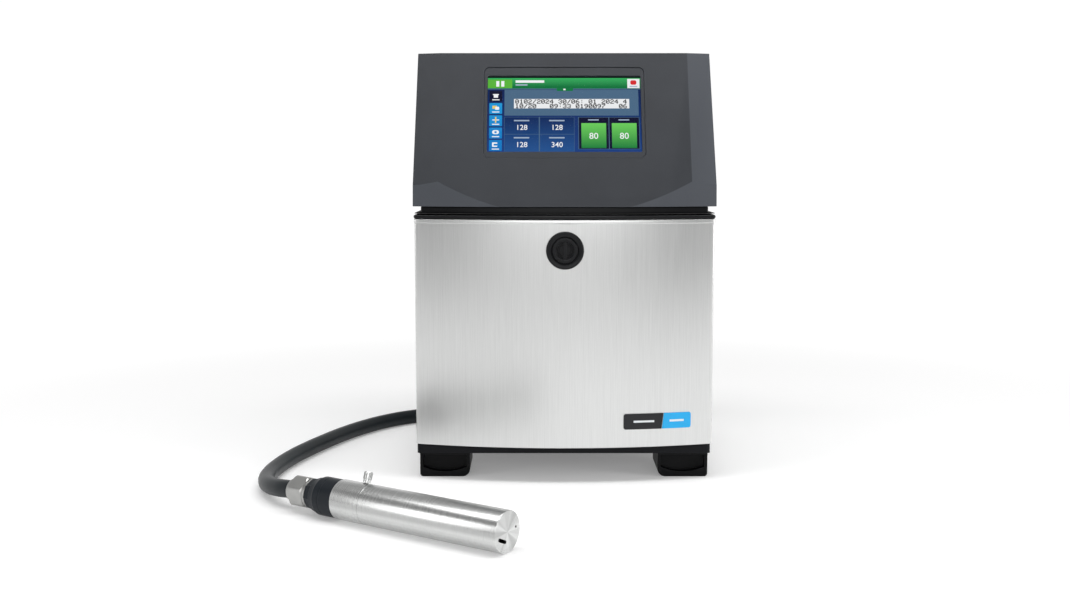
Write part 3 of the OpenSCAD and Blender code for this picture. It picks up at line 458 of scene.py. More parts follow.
# %% Plastics, paint and rubber
def moulded(name, colour, rough, grain, depth, wear, cloud, gloss, coat=0.0, alpha=1.0, painted_facet_light=0.0):
    """Moulded or coated surface; grain and depth in millimetres, gloss 0.5 for a bare polymer.
    With painted facet light, upright faces and faces turned to the right get a painted lighter
    colour, as if they caught more light than the rest."""
    material, g = start_material(name)
    pebbles = g.node("ShaderNodeTexVoronoi", {"feature": "SMOOTH_F1"},
        {"Vector": g.where(), "Scale": 1 / (grain * MM), "Smoothness": 0.6})
    dust = g.noise(g.where(), 14.0, 4.0, 0.6)
    fine = g.noise(g.where(), 2.5 / (grain * MM), 2.0)
    edge_mask = g.edges(1.0 * MM)
    tint = g.blend(g.fade(dust, 0.3, 0.75), shade(colour, 1 - cloud), shade(colour, 1 + cloud))
    # Lighter edges: rubbed wear, and on the feet also a painted highlight on the rim.
    tint = g.blend(edge_mask * wear, tint, tuple(min(c * 1.6 + 0.02, 1) for c in colour[:3]) + (1,))
    # Painted light: upright faces and faces turned to the right get a lighter colour, up to twice as light, as if
    # lit more.
    if painted_facet_light:
        to_right, _, level = g.axes(g.node("ShaderNodeNewGeometry", output="True Normal"))
        upright = (1 - g.fade(level * level, 0.01, 0.08)) * g.fade(to_right * to_right, 0.0, 0.02)
        right_faces = g.fade(to_right, 0.15, 0.25) * g.fade(level, 0.1, 0.3)
        painted_light_mask = upright.maths("MAXIMUM", upright, right_faces)
        tint = g.blend(painted_light_mask * painted_facet_light, tint, shade(colour, 2.0))
    relief = pebbles * 0.7 + fine * 0.3
    g.surface(Base_Color=tint, Roughness=rough + 0.14 * (dust - 0.5) + 0.1 * (fine - 0.5),
        Specular_IOR_Level=gloss, Coat_Weight=coat, Coat_Roughness=0.12, Alpha=alpha,
        Normal=g.bump(relief, depth * MM))
    return material


# Slot, material, colour, roughness, grain and its depth, wear and edge lightening, cloud, gloss, coat, alpha,
# painted light on facets
MOULDINGS = [
    ("console_plastic", "console_graphite", (0.031, 0.034, 0.04), 0.5, 0.55, 0.02, 0.5, 0.1, 0.3,
        0.0, 1.0, 0.9),
    ("black_plastic", "plastic_black", (0.005, 0.0054, 0.0065), 0.3, 0.5, 0.006, 0.4, 0.1, 0.2),
    ("base_black", "powder_black", (0.006, 0.0064, 0.008), 0.46, 1.1, 0.03, 0.3, 0.1, 0.12),
    # On the feet, the strong edge lightening is partly a painted highlight on the rim that faces up.
    ("foot_rubber", "foot_black", (0.0025, 0.0027, 0.0032), 0.42, 0.8, 0.015, 0.8, 0.1, 0.1),
    ("hose_rubber", "hose_black", (0.008, 0.012, 0.015), 0.42, 1.6, 0.02, 0.0, 0.3, 0.24),
    ("boot_rubber", "boot_black", (0.006, 0.009, 0.013), 0.42, 0.9, 0.012, 0.2, 0.2, 0.2),
    ("seal_rubber", "seal_black", (0.012, 0.012, 0.013), 0.62, 0.9, 0.03, 0.1, 0.2, 0.2),
    ("sheet_grey", "powder_grey", (0.42, 0.43, 0.44), 0.48, 1.2, 0.03, 0.2, 0.05, 0.4),
    ("tank_plastic", "natural_plastic", (0.66, 0.68, 0.66), 0.42, 1.0, 0.01, 0.1, 0.06, 0.5),
    ("clear_tube", "amber_tube", (0.56, 0.5, 0.34), 0.22, 2.0, 0.005, 0.0, 0.08, 0.5),
    ("ink_plastic", "ink_black", (0.014, 0.015, 0.018), 0.3, 0.8, 0.008, 0.3, 0.1, 0.4),
    ("makeup_plastic", "makeup_white", (0.66, 0.67, 0.68), 0.34, 0.8, 0.008, 0.1, 0.04, 0.5),
    ("switch_red", "switch_red", (0.4, 0.015, 0.015), 0.26, 0.6, 0.004, 0.2, 0.1, 0.5),
    ("badge", "badge_black", (0.012, 0.0125, 0.015), 0.22, 0.5, 0.003, 0.2, 0.1, 0.2, 0.2),
    ("badge_blue", "badge_blue", (0.02, 0.38, 0.76), 0.24, 0.5, 0.003, 0.1, 0.05, 0.2, 0.2),
    ("badge_mark", "badge_mark", (0.7, 0.73, 0.75), 0.3, 0.5, 0.003, 0.0, 0.03, 0.2, 0.2),
    ("glass", "touch_glass", (0.02, 0.022, 0.026), 0.06, 3.0, 0.0005, 0.0, 0.1, 0.06, 0.0, 0.06),
]
for slot, *look in MOULDINGS:
    finishes[slot] = moulded(*look)
print(len(MOULDINGS), "mouldings and coats ready")


# %% [markdown]
# ## A circuit board
# Solder mask over copper: broad green with straight lighter tracks. A brick pattern of very flat
# bricks reads as tracks, and its bump as the ridge of the copper underneath.

# %% Circuit board
def board_finish():
    material, g = start_material("solder_mask")
    flow = g.where()
    tracks = g.node("ShaderNodeTexBrick", {"offset": 0.37},
        {"Vector": flow, "Scale": 120.0, "Mortar Size": 0.05, "Brick Width": 2.2, "Row Height": 0.3},
        "Fac")
    film = g.noise(flow, 60.0, 3.0)
    tint = g.blend(tracks, (0.012, 0.11, 0.05, 1), (0.03, 0.22, 0.09, 1))
    g.surface(Base_Color=tint, Roughness=0.3 + 0.15 * film, Normal=g.bump(tracks, 0.03 * MM))
    return material


finishes["circuit_board"] = board_finish()


def glow(name, top, bottom=None, low=0.0, high=1.0):
    """Lit picture element: its colour fades from top to bottom between two heights."""
    material, g = start_material(name)
    height = g.axes(g.where())[2]
    colour = g.blend(g.fade(height, low, high), bottom or top, top)
    g.surface(Base_Color=(0.004, 0.004, 0.005, 1), Roughness=0.35, Specular_IOR_Level=0.05,
        Emission_Color=colour, Emission_Strength=1.0)
    return material


finishes["screen"] = glow("screen_backlight", from_screen(20, 40, 82))
for row in record["subparts"]:
    node_mesh = frame["nodes"][row["node"]].data
    node_mesh.materials.clear()
    node_mesh.materials.append(finishes[row["material_slot"]])
hose_data.materials.append(finishes["hose_rubber"])
print(len(finishes), "finishes given to", len(record["subparts"]), "nodes")

# %% [markdown]
# ## The stage and the light
# A pale floor that ends below the camera and runs out of sight at the back, and soft light from
# large panels. Away from the machine the floor glows evenly, so that it fades to plain white.
# The sky is bright at the back. It dims upwards, and in front it dims to the sides, so that
# bowed steel shows light and dark bands.

# %% Floor, sky and lights
bpy.context.scene.view_settings.view_transform = "Standard"
floor_half, floor_front = 9, 1.3
floor_bm = bmesh.new()
bmesh.ops.create_grid(floor_bm, x_segments=2, y_segments=2, size=floor_half)
bmesh.ops.translate(floor_bm, vec=(0, floor_half - floor_front, 0), verts=floor_bm.verts)
floor_mesh = bpy.data.meshes.new("floor")
floor_bm.to_mesh(floor_mesh)
floor_bm.free()
floor = add_object("floor", floor_mesh)
floor_material, g = start_material("floor_pale")
speckle = g.noise(g.where(), 30.0, 3.0)
away = g.node("ShaderNodeVectorMath", {"operation": "LENGTH"}, {0: g.where()}, "Value")
lit_up = g.fade(away, 0.45, 1.1)
glow_level = 0.2 + 0.8 * lit_up
g.surface(Base_Color=g.blend(lit_up, g.blend(speckle, (0.84, 0.84, 0.84, 1), (0.86, 0.86, 0.86, 1)),
    (0.0, 0.0, 0.0, 1)), Emission_Color=g.blend(glow_level, (0, 0, 0, 1), (1, 1, 1, 1)),
    Emission_Strength=1.0, Roughness=0.8, Specular_IOR_Level=0.1)
floor_mesh.materials.append(floor_material)

world = bpy.data.worlds.new("soft_sky")
world.use_nodes = True
bpy.context.scene.world = world
g = Graph(world.node_tree)
direction = g.node("ShaderNodeTexCoord", output="Generated")
side, depth, rise = g.axes(direction)
upward = g.fade(rise, 0.28, 0.6)
in_front = 1.0 - g.fade(depth, -0.5, 0.35)
sideways = g.fade(side * side, 0.02, 0.4)
low_front = 1.0 - g.fade(rise, 0.0, 0.45)
sky = (1.0 - 0.6 * upward) * (1.0 - in_front * (0.22 + 0.46 * sideways + 0.12 * low_front))
background = g.node("ShaderNodeBackground", inputs={"Color": (1, 1, 1, 1), "Strength": sky * 1.02})
g.node("ShaderNodeOutputWorld", inputs={"Surface": background})


def panel_light(name, place, aim, size, power):
    data = bpy.data.lights.new(name, "AREA")
    data.shape = "RECTANGLE"
    data.size, data.size_y = size
    data.energy = power
    lamp = add_object(name, data)
    lamp.location = place
    lamp.rotation_euler = (Vector(aim) - Vector(place)).to_track_quat("-Z", "Y").to_euler()


panel_light("top_panel", (0.0, -0.35, 1.6), (0, -0.3, 0), (2.4, 0.5), 20)
panel_light("left_panel", (-1.9, -1.2, 0.6), (-0.1, -0.1, 0.2), (0.5, 1.0), 6)
panel_light("right_panel", (1.9, -0.9, 0.5), (0.1, -0.1, 0.25), (0.6, 1.0), 12)
panel_light("front_panel", (0.1, -2.8, 0.9), (0, 0, 0.2), (2.0, 0.9), 12)

# %% [markdown]
# ## The coil's ties
# Spare hose is kept together with rubber straps. Each is a flat band round both turns: a rounded
# outline of two stacked circles, given width and thickness, with a raised buckle.

# %% Two straps round the coil
tie_t = 1.6 * MM
tie_half = 6 * MM


def coil_tie(name, turn_degrees):
    heading = math.radians(turn_degrees)
    outward = Vector((math.cos(heading), math.sin(heading), 0))
    along = Vector((-math.sin(heading), math.cos(heading), 0))
    place = Matrix((outward, along, Vector((0, 0, 1)))).transposed().to_4x4()
    place.translation = coil_centre + outward * coil_r
    bm = bmesh.new()
    rise, reach = hose_d, hose_d / 2 + 0.2 * MM
    outline = [(reach + tie_t) * Vector((math.cos(a), 0, math.sin(a))) + Vector((0, -tie_half, z))
        for z, first in ((rise * 1.5, 0), (rise / 2 + 1.7 * MM, math.pi))
        for a in [first + math.pi * i / 12 for i in range(13)]]
    face = bm.faces.new([bm.verts.new(p) for p in outline])
    inner = bmesh.ops.inset_region(bm, faces=[face], thickness=tie_t, use_even_offset=True)
    bmesh.ops.delete(bm, geom=[face], context="FACES_ONLY")
    band = [f for f in inner["faces"] if f.is_valid]
    grown = bmesh.ops.extrude_face_region(bm, geom=band, use_keep_orig=True)
    bmesh.ops.translate(bm, vec=(0, 2 * tie_half, 0), verts=verts_in(grown))
    add_block(bm, Matrix(), (reach, -tie_half - MM, rise - 5 * MM),
        (reach + 3.4 * MM, tie_half + MM, rise + 7 * MM))
    bmesh.ops.recalc_face_normals(bm, faces=bm.faces)
    bmesh.ops.transform(bm, matrix=place, verts=bm.verts)
    return make(name, bm, "cabinet", "seal_rubber", edge=0.4 * MM, segments=2)


ties = [coil_tie("coil_tie_right", -8), coil_tie("coil_tie_rear", 118)]

# %% [markdown]
# ## Mouldings with eased edges
# The CAD shapes of the casings are right, and only their edges are too sharp. For these a merged
# copy of the node with a narrow bevel is enough: the width is what the tool or the press leaves.
# The neck also gets a thin dark strip round its foot, a widened and flattened copy of it in seal
# rubber. It is painted shade: a dark sheet that hides the lit edge of the deck in the gap under
# the console.

# %% Ease the edges of the casings and fittings
EASED = [
    ("console_moulding", "console_shell", "cabinet", 0.9, 3),
    ("bezel_frame", "screen_bezel", "cabinet", 0.3, 2),
    ("neck_moulding", "neck_plinth", "cabinet", 1.5, 3),
    ("tray_casting", "base_tray", "cabinet", 0.8, 3),
    ("front_foot_pair", "front_feet", "cabinet", 1.2, 3),
    ("rear_foot_pair", "rear_feet", "cabinet", 1.2, 3),
    ("rear_sheet", "rear_panel", "cabinet", 0.4, 2),
    ("cabinet_sheet", "cabinet_shell", "cabinet", 0.5, 2),
    ("grille_moulding", "fan_grille", "cabinet", 0.35, 2),
    ("inlet_moulding", "mains_inlet", "cabinet", 0.4, 2),
    ("socket_shells", "data_sockets", "cabinet", 0.4, 2),
    ("shelf_sheet", "divider_shelf", "cabinet", 0.4, 2),
    ("cover_sheet", "electronics_cover", "cabinet", 0.4, 2),
    ("holder_moulding", "cartridge_holder", "cabinet", 1.0, 3),
    ("switch_rocker", "rocker_switch", "rocker", 0.8, 3),
    ("door_liner", "door_panel", "door", 0.6, 2),
    ("cam_plate", "latch_cam", "latch", 0.4, 2),
    ("gland_body", "cabinet_gland", "cabinet", 0.4, 2),
    ("fan_frame", "fan_housing", "cabinet", 0.5, 2),
    ("fan_wheel", "fan_rotor", "fan", 0.25, 2),
    ("ink_bottle", "ink_cartridge", "ink", 1.0, 3),
    ("makeup_bottle", "makeup_cartridge", "makeup", 1.0, 3),
    ("mixer_vessel", "mixer_tank", "cabinet", 0.8, 2),
    ("filter_canister", "service_filter", "cabinet", 0.6, 2),
    ("motor_can", "pump_motor", "cabinet", 0.5, 2),
    ("pump_block", "pump_housing", "cabinet", 0.5, 2),
    ("pump_plate", "pump_cover", "cabinet", 0.4, 2),
    ("manifold_block", "fluid_manifold", "cabinet", 0.5, 2),
    ("valve_row", "valve_bank", "cabinet", 0.4, 2),
    ("keeper_plate", "latch_keeper", "cabinet", 0.4, 2),
    ("screen_module", "display_module", "cabinet", 0.4, 2),
    ("nozzle_body", "nozzle_block", "cabinet", 0.3, 2),
    ("door_gasket", "door_seal", "cabinet", 0.4, 2),
]
slot_of = {row["node"]: row["material_slot"] for row in record["subparts"]}
for name, node, body, width, segments in EASED:
    make(name, copy_of(node), body, slot_of[node], [node], width * MM, segments)

neck_low, neck_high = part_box("neck_plinth")
# Painted shade: a dark strip in seal rubber that hides the lit edge of the deck in the shadowed gap under the
# console.
shade_strip_side, shade_strip_front, shade_strip_t = 6.4 * MM, 6.2 * MM, 0.8 * MM
shade_strip = copy_of("neck_plinth")
for v in shade_strip.verts:
    v.co.x *= 1 + shade_strip_side / neck_high.x
    v.co.y -= shade_strip_front * (neck_high.y - v.co.y) / (neck_high.y - neck_low.y)
    v.co.z = neck_low.z + shade_strip_t * (v.co.z - neck_low.z) / (neck_high.z - neck_low.z)
make("neck_shade_strip", shade_strip, "cabinet", "seal_rubber")

# %% [markdown]
# ## The bowed door
# The door is one sheet of steel, pressed to a shallow bow and folded back at both sides. Its
# cross-section is the same all the way round, so a profile is spun about the bow's centre, spun
# again round the tight side corner, pulled straight back, and mirrored. The same sweep, with a
# bull-nose profile, makes the plastic trim along the top.

# %% Sweep a profile round the bowed front
skin_low, skin_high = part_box("door_skin")
half_w = skin_high.x
nose_y = skin_low.y
door_back = skin_high.y
corner_y = min(p.y for p in points_of("door_skin") if p.x > half_w - 0.05 * MM)
bow = corner_y - nose_y
bow_r = (half_w ** 2 + bow ** 2) / (2 * bow)
bow_centre = Vector((0, nose_y + bow_r, 0))
door_low, door_h = skin_low.z, (skin_high.z - skin_low.z) / MM
print("bow radius", round(bow_r, 4), "m, depth of bow", round(bow, 4), "m")


def bowed(profile, base, back, corner=2.0 * MM):
    """Sweeps a closed profile of (outward, up) points, in millimetres, round the front."""
    bm = bmesh.new()
    verts = [bm.verts.new((0, nose_y - out * MM, base + up * MM)) for out, up in profile]
    edges = [bm.edges.new(pair) for pair in zip(verts, verts[1:] + verts[:1])]
    sweep = math.asin((half_w - corner) / (bow_r - corner))
    side = Vector((half_w - corner, bow_centre.y - (bow_r - corner) * math.cos(sweep), 0))
    last = bmesh.ops.spin(bm, geom=verts + edges, cent=bow_centre, axis=(0, 0, 1), dvec=(0, 0, 0),
        angle=sweep, steps=36)["geom_last"]
    last = bmesh.ops.spin(bm, geom=last, cent=side, axis=(0, 0, 1), dvec=(0, 0, 0),
        angle=math.pi / 2 - sweep, steps=6)["geom_last"]
    pulled = bmesh.ops.extrude_edge_only(bm, edges=[e for e in last if isinstance(e, bmesh.types.BMEdge)])
    bmesh.ops.translate(bm, vec=(0, back - side.y, 0), verts=verts_in(pulled))
    half = bm.verts[:] + bm.edges[:] + bm.faces[:]
    bmesh.ops.mirror(bm, geom=half, matrix=Matrix(), merge_dist=0.001 * MM, axis="X")
    bmesh.ops.remove_doubles(bm, verts=bm.verts, dist=0.001 * MM)
    bmesh.ops.holes_fill(bm, edges=[e for e in bm.edges if e.is_boundary])
    bmesh.ops.recalc_face_normals(bm, faces=bm.faces)
    return bm


sheet = 1.5
hem_out = 0.5
skin_profile = (
    arc(-1.0, 1.0, 1.0, -90, 0, 4)
    + [(0, door_h - 4.6), (hem_out, door_h - 3.9)]
    + arc(hem_out - 0.8, door_h - 0.8, 0.8, 0, 90, 4)
    + [(-sheet, door_h), (-sheet, sheet), (-9, sheet), (-9, 0)]
)
skin = make("door_sheet", bowed(skin_profile, door_low, door_back), "door", "stainless", ["door_skin"])


def cut_away(piece, cutter_bm):
    """Cuts a bmesh shape out of a piece, with the cut written into the piece's mesh."""
    mesh = bpy.data.meshes.new("cutter")
    cutter_bm.to_mesh(mesh)
    cutter_bm.free()
    cutter = add_object("cutter", mesh)
    cut = piece.modifiers.new("cut", "BOOLEAN")
    cut.object = cutter
    cut.operation = "DIFFERENCE"
    cut.solver = "EXACT"
    bpy.context.view_layer.update()
    done = bpy.data.meshes.new_from_object(piece.evaluated_get(bpy.context.evaluated_depsgraph_get()))
    piece.modifiers.remove(cut)
    piece.data = done
    piece.data.set_sharp_from_angle(angle=CORNER)
    bpy.data.objects.remove(cutter)


latch = facing((0, nose_y, centre_of("latch_knob").z), (0, -1, 0))
stem_r, hole_r = 17, 17.1
cut_away(skin, turned([(-20, 0), (-20, hole_r), (20, hole_r), (20, 0)], latch))

trim_low, trim_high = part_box("door_trim")
trim_h = (trim_high.z - trim_low.z) / MM
trim_out = (nose_y - trim_low.y) / MM
nose_r = trim_h / 2 - 0.05
trim_profile = arc(trim_out - nose_r, trim_h / 2, nose_r, -90, 90, 10) + [(-18, trim_h), (-18, 0.05)]
make("door_trim_bar", bowed(trim_profile, trim_low.z, trim_high.y, 3.0 * MM), "door", "black_plastic",
    ["door_trim"])

# %% [markdown]
# ## The latch
# A quarter-turn latch is two turned mouldings: a flanged housing fixed in the door, and a knob
# that turns inside it. Both are spun profiles. The knob's face is dished, and a bar across the
# dish is the finger grip.

# %% Latch housing and knob
housing_low, housing_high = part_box("latch_housing")
flange_r = (housing_high.x - housing_low.x) / 2 / MM
flange_t = (nose_y - housing_low.y) / MM
stem_end = (nose_y - housing_high.y) / MM
bore_r, shaft_hole_r, boss_r = 14.8, 5.1, 11.5
housing_profile = (
    [(0.05, flange_r)]
    + arc(flange_t - 1.8, flange_r - 1.8, 1.8, 90, 15, 6)
    + [(flange_t - 0.3, flange_r - 2.6), (flange_t - 0.9, bore_r + 1.6),
        (flange_t - 1.4, bore_r + 1.866), (flange_t - 2.2, bore_r), (-5, bore_r),
        (-5, shaft_hole_r), (stem_end, shaft_hole_r), (stem_end, boss_r), (-14, boss_r),
        (-14, stem_r), (0.05, stem_r)]
)
make("latch_collar", turned(housing_profile, latch, 96, True), "door", "black_plastic",
    ["latch_housing"], 0.25 * MM, 2)

knob_low, knob_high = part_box("latch_knob")
knob_r = (knob_high.x - knob_low.x) / 2 / MM
knob_front = (nose_y - knob_low.y) / MM
shaft_end = (nose_y - knob_high.y) / MM
dish_r = knob_r - 4.6
knob_profile = (
    [(shaft_end, 0), (shaft_end, 5), (knob_front - 7, 5), (knob_front - 7, knob_r),
        (knob_front - 1.2, knob_r)]
    + arc(knob_front - 1.2, knob_r - 1.2, 1.2, 90, 0, 5)
    + arc(knob_front - 1.0, dish_r + 1.0, 1.0, 0, -90, 5)
    + [(knob_front - 2.9, dish_r - 0.3), (knob_front - 2.9, dish_r - 1.6), (knob_front - 2.3, dish_r - 2.0),
        (knob_front - 2.3, dish_r - 3.0), (knob_front - 2.9, dish_r - 3.4), (knob_front - 2.9, 0)]
)
knob_bm = turned(knob_profile, latch)
add_block(knob_bm, latch, mm(knob_front - 3.5, -1.9, -dish_r + 0.2),
    mm(knob_front - 0.5, 1.9, dish_r - 0.2))
make("latch_grip", knob_bm, "latch", "black_plastic", ["latch_knob"], 0.35 * MM, 2)

# %% [markdown]
# ## The badge
# A thin label in two colours with a slanted join, stuck low on the right of the door. It bends
# with the bow, so flat plates are made in the label's own plane and then wrapped: each point
# turns about the bow's centre by its distance across.

# %% Badge
badge_low, badge_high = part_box("door_badge")
badge_t = 0.8
badge_mid = centre_of("door_badge")
badge_turn = math.atan2(badge_mid.x, bow_centre.y - badge_mid.y)
badge_h = (badge_high.z - badge_low.z) / MM
badge_w = 79
split_at = 6.0
slant = 2.2
badge_bm = bmesh.new()


def badge_plate(left, right, lean_left, lean_right, index, corner):
    """A plate whose ends lean: its verts are placed as (across, up, out) in millimetres."""
    width = right - left
    verts = bmesh.ops.create_grid(badge_bm, x_segments=14, y_segments=6, size=0.5)["verts"]
    bmesh.ops.scale(badge_bm, vec=(width, badge_h, 1), verts=verts)
    bmesh.ops.translate(badge_bm, vec=((left + right) / 2, 0, 0), verts=verts)
    for v in verts:
        share = (v.co.x - left) / width
        v.co.x += (lean_left * (1 - share) + lean_right * share) * v.co.y / badge_h
    for face in {f for v in verts for f in v.link_faces}:
        face.material_index = index
    corners = [v for v in verts if len(v.link_edges) == 2 and abs(v.co.x - corner) < 2]
    if corners:
        bmesh.ops.bevel(badge_bm, geom=corners, offset=2.6, offset_type="OFFSET", segments=5,
            profile=0.5, affect="VERTICES", material=-1)


badge_plate(-badge_w / 2, split_at - 0.3, 0, slant, 0, -badge_w / 2)
badge_plate(split_at + 0.3, badge_w / 2, slant, 0, 1, badge_w / 2)
raised = bmesh.ops.extrude_face_region(badge_bm, geom=badge_bm.faces[:], use_keep_orig=True)
bmesh.ops.translate(badge_bm, vec=(0, 0, badge_t), verts=verts_in(raised))
bmesh.ops.recalc_face_normals(badge_bm, faces=badge_bm.faces)


def badge_bar(left, right, low, high):
    """A plain raised bar where a name would be."""
    made = bmesh.ops.create_cube(badge_bm, size=1)
    bmesh.ops.scale(badge_bm, vec=(right - left, high - low, 0.3), verts=made["verts"])
    bmesh.ops.translate(badge_bm, vec=((left + right) / 2, (low + high) / 2, badge_t), verts=made["verts"])
    for face in {f for v in made["verts"] for f in v.link_faces}:
        face.material_index = 2


badge_bar(-28, -4, -1.2, 1.2)
badge_bar(14, 31, -1.2, 1.2)
for v in badge_bm.verts:
    bend = badge_turn + v.co.x * MM / bow_r
    reach = bow_r + (v.co.z + 0.03) * MM
    v.co = bow_centre + Vector((reach * math.sin(bend), -reach * math.cos(bend), badge_mid.z + v.co.y * MM))
bmesh.ops.recalc_face_normals(badge_bm, faces=badge_bm.faces)
make("badge_label", badge_bm, "door", "badge", ["door_badge"], 0.25 * MM, 2,
    [finishes[name] for name in ("badge", "badge_blue", "badge_mark")])

# %% [markdown]
# ## The print head
# The barrel is turned steel tube with a closed nose. A spun profile gives the rounded rear rim,
# the shallow ring where the clamping stretch begins, and the broken edge of the nose. The slot
# that the ink leaves by and a small pin hole are cut through the nose.

# %% Barrel
barrel_r = 20.65
barrel_len = (head_nose - head_rear) / MM
wall = 1.2
cap_t = 2.5
ring_x, ring_w, ring_deep = 37, 1.5, 0.4
barrel_profile = (
    [(0.4, barrel_r - wall)]
    + arc(0.9, barrel_r - 0.9, 0.9, 180, 90, 5)
    + [(ring_x, barrel_r), (ring_x + 0.2, barrel_r - ring_deep),
        (ring_x + ring_w - 0.2, barrel_r - ring_deep), (ring_x + ring_w, barrel_r)]
    + arc(barrel_len - 0.7, barrel_r - 0.7, 0.7, 90, 0, 4)
    + [(barrel_len, 12), (barrel_len, 0), (barrel_len - cap_t, 0), (barrel_len - cap_t, barrel_r - wall)]
)
barrel = make("barrel_tube", turned(barrel_profile, head, 160, True), "barrel", "polished_steel",
    ["barrel_cover"])
up = Vector((0, 0, 1))
nose_frame = Matrix((head_x, up.cross(head_x), up)).transposed().to_4x4()
nose_frame.translation = head.translation
z_to_x = Matrix.Rotation(math.radians(90), 4, "Y")
slot_tilt, slot_half, slot_corner = -24, mm(1.8, 7, 5), 1.7 * MM
slot_place = nose_frame @ shift(0, -8.3, -6.7) @ Matrix.Rotation(math.radians(slot_tilt), 4, "X")
slot_bm = bmesh.new()
add_block(slot_bm, Matrix(), -slot_half, slot_half, 0, slot_corner)
bmesh.ops.transform(slot_bm, matrix=slot_place @ Matrix.Translation((barrel_len * MM, 0, 0)) @ z_to_x,
    verts=slot_bm.verts)
cut_away(barrel, slot_bm)
pin_place, pin_r = nose_frame @ shift(0, 13.9, 2), 1.2
cut_away(barrel, turned([(barrel_len - 5, 0), (barrel_len - 5, pin_r), (barrel_len + 5, pin_r),
    (barrel_len + 5, 0)], pin_place, 24))

# %% [markdown]
# The boot is soft rubber over the hose joint: an eight-sided collar for a spanner, a cone and a
# plain sleeve with one ring pressed in. The nut behind it is nickel plated brass.

# %% Boot, nut and thumb screw
boot_low, boot_high = (s / MM for s in span("head_boot", head_x, head.translation))
nut_low, nut_high = (s / MM for s in span("gland_nut", head_x, head.translation))
sleeve_r = barrel_r - 0.6
boot_profile = (
    [(boot_low + 6, 0), (boot_low + 6, 15)]
    + arc(boot_low + 9.6, 16.4, 1.6, 180, 100, 4)
    + [(boot_low + 13.6, sleeve_r - 1.4)]
    + arc(boot_low + 16.4, sleeve_r - 1.5, 1.5, 120, 90, 3)
    + [(boot_low + 23, sleeve_r), (boot_low + 23.3, sleeve_r - 0.3), (boot_low + 24.1, sleeve_r - 0.3),
        (boot_low + 24.4, sleeve_r), (-0.6, sleeve_r), (-0.3, sleeve_r - 0.3), (-0.3, 18.8),
        (boot_high, 18.8), (boot_high, 0)]
)
boot_bm = turned(boot_profile, head)
collar_rear_r, collar_front_r, collar_len = 16, 17.4, 9
bmesh.ops.create_cone(boot_bm, cap_ends=True, segments=8, radius1=collar_rear_r * MM,
    radius2=collar_front_r * MM, depth=collar_len * MM,
    matrix=head @ shift(boot_low + collar_len / 2, 0, 0) @ z_to_x
    @ Matrix.Rotation(math.radians(22.5), 4, "Z"))
make("boot_sleeve", boot_bm, "cabinet", "boot_rubber", ["head_boot"], 0.5 * MM, 3)

corner_r, eased_r, face_r = 18, 17.2, 14.6
hex_len = nut_high - nut_low - 3
nut_bm = bmesh.new()
bmesh.ops.create_cone(nut_bm, cap_ends=True, segments=6, radius1=corner_r * MM,
    radius2=corner_r * MM, depth=hex_len * MM,
    matrix=head @ shift(nut_low + hex_len / 2, 0, 0) @ z_to_x)
trim_cut = turned([(nut_low - 1, face_r), (nut_low + 1.6, eased_r), (nut_high - 4.6, eased_r),
    (nut_high - 2, face_r), (nut_high - 2, 30), (nut_low - 1, 30)], head, 96, True)
nut = make("hose_nut", nut_bm, "cabinet", "nickel", ["gland_nut"])
cut_away(nut, trim_cut)
rings_profile = [(nut_high - 3, 12), (nut_high - 3, 15.4), (nut_high, 15.4), (nut_high, 12)]
make("nut_washer", turned(rings_profile, head, 96, True), "cabinet", "nickel", edge=0.4 * MM)
inner_profile = [(nut_low - 7, 9.6), (nut_low - 7, 11.2), (nut_low - 6.2, 12.0), (nut_low, 12.6),
    (nut_low, 9.6)]
make("nut_ferrule", turned(inner_profile, head, 64, True), "cabinet", "nickel", edge=0.25 * MM, segments=2)

screw_x = (head.inverted() @ centre_of("thumb_screw")).x / MM
screw_low, screw_high = (s / MM for s in span("thumb_screw", head_z, head.translation))
screw_place = head @ Matrix.Translation((screw_x * MM, 0, 0)) @ Matrix.Rotation(-math.pi / 2, 4, "Y")
thread_r, shank_r, rim_r, grip_r = 2, 4, 4.3, 4.6
screw_profile = [(screw_low, 0), (screw_low, thread_r), (barrel_r + 0.5, thread_r),
    (barrel_r + 0.5, shank_r), (screw_high - 7.5, shank_r), (screw_high - 7.5, rim_r),
    (screw_high - 7.2, grip_r), (screw_high - 0.9, grip_r), (screw_high - 0.9, rim_r),
    (screw_high - 0.6, rim_r), (screw_high, 3.9), (screw_high, 1.6), (screw_high - 0.6, 1.2),
    (screw_high - 0.6, 0)]
screw_bm = turned(screw_profile, screw_place, 72)
knurl = [f for f in screw_bm.faces if f.calc_area() > 2.2 * MM * MM
    and (screw_place.inverted() @ f.calc_center_median()).yz.length > (grip_r - 0.2) * MM]
for face in knurl[::2]:
    bmesh.ops.inset_individual(screw_bm, faces=[face], thickness=0.06 * MM, depth=-0.35 * MM)
print("knurl cut in", len(knurl[::2]), "flutes")
make("barrel_thumb_screw", screw_bm, "barrel_screw", "polished_steel", ["thumb_screw"])

# %% [markdown]
# ## The picture on the screen
# The display shows a status bar, a column of keys, the code being printed, four counters and two
# fluid gauges. Each is a very thin lit plate on the panel behind the glass. Words are replaced by
# plain bars, and figures are kept as generic numbers.

# %% The screen's own frame
def front_frame(node):
    """Top left corner frame of a leaning plate: X right, Y down the plate, Z out of it."""
    mesh = frame["nodes"][node].data
    face = max(mesh.polygons, key=lambda p: p.area * (p.normal.y < -0.5))
    out = face.normal.copy()
    right = Vector((1, 0, 0))
    down = right.cross(out)
    down = down if down.z < 0 else -down
    left, across = span(node, right)
    top, bottom = span(node, down)
    place = Matrix((right, down, out)).transposed().to_4x4()
    place.translation = right * left + down * top + out * span(node, out)[1]
    return place, (across - left) / MM, (bottom - top) / MM


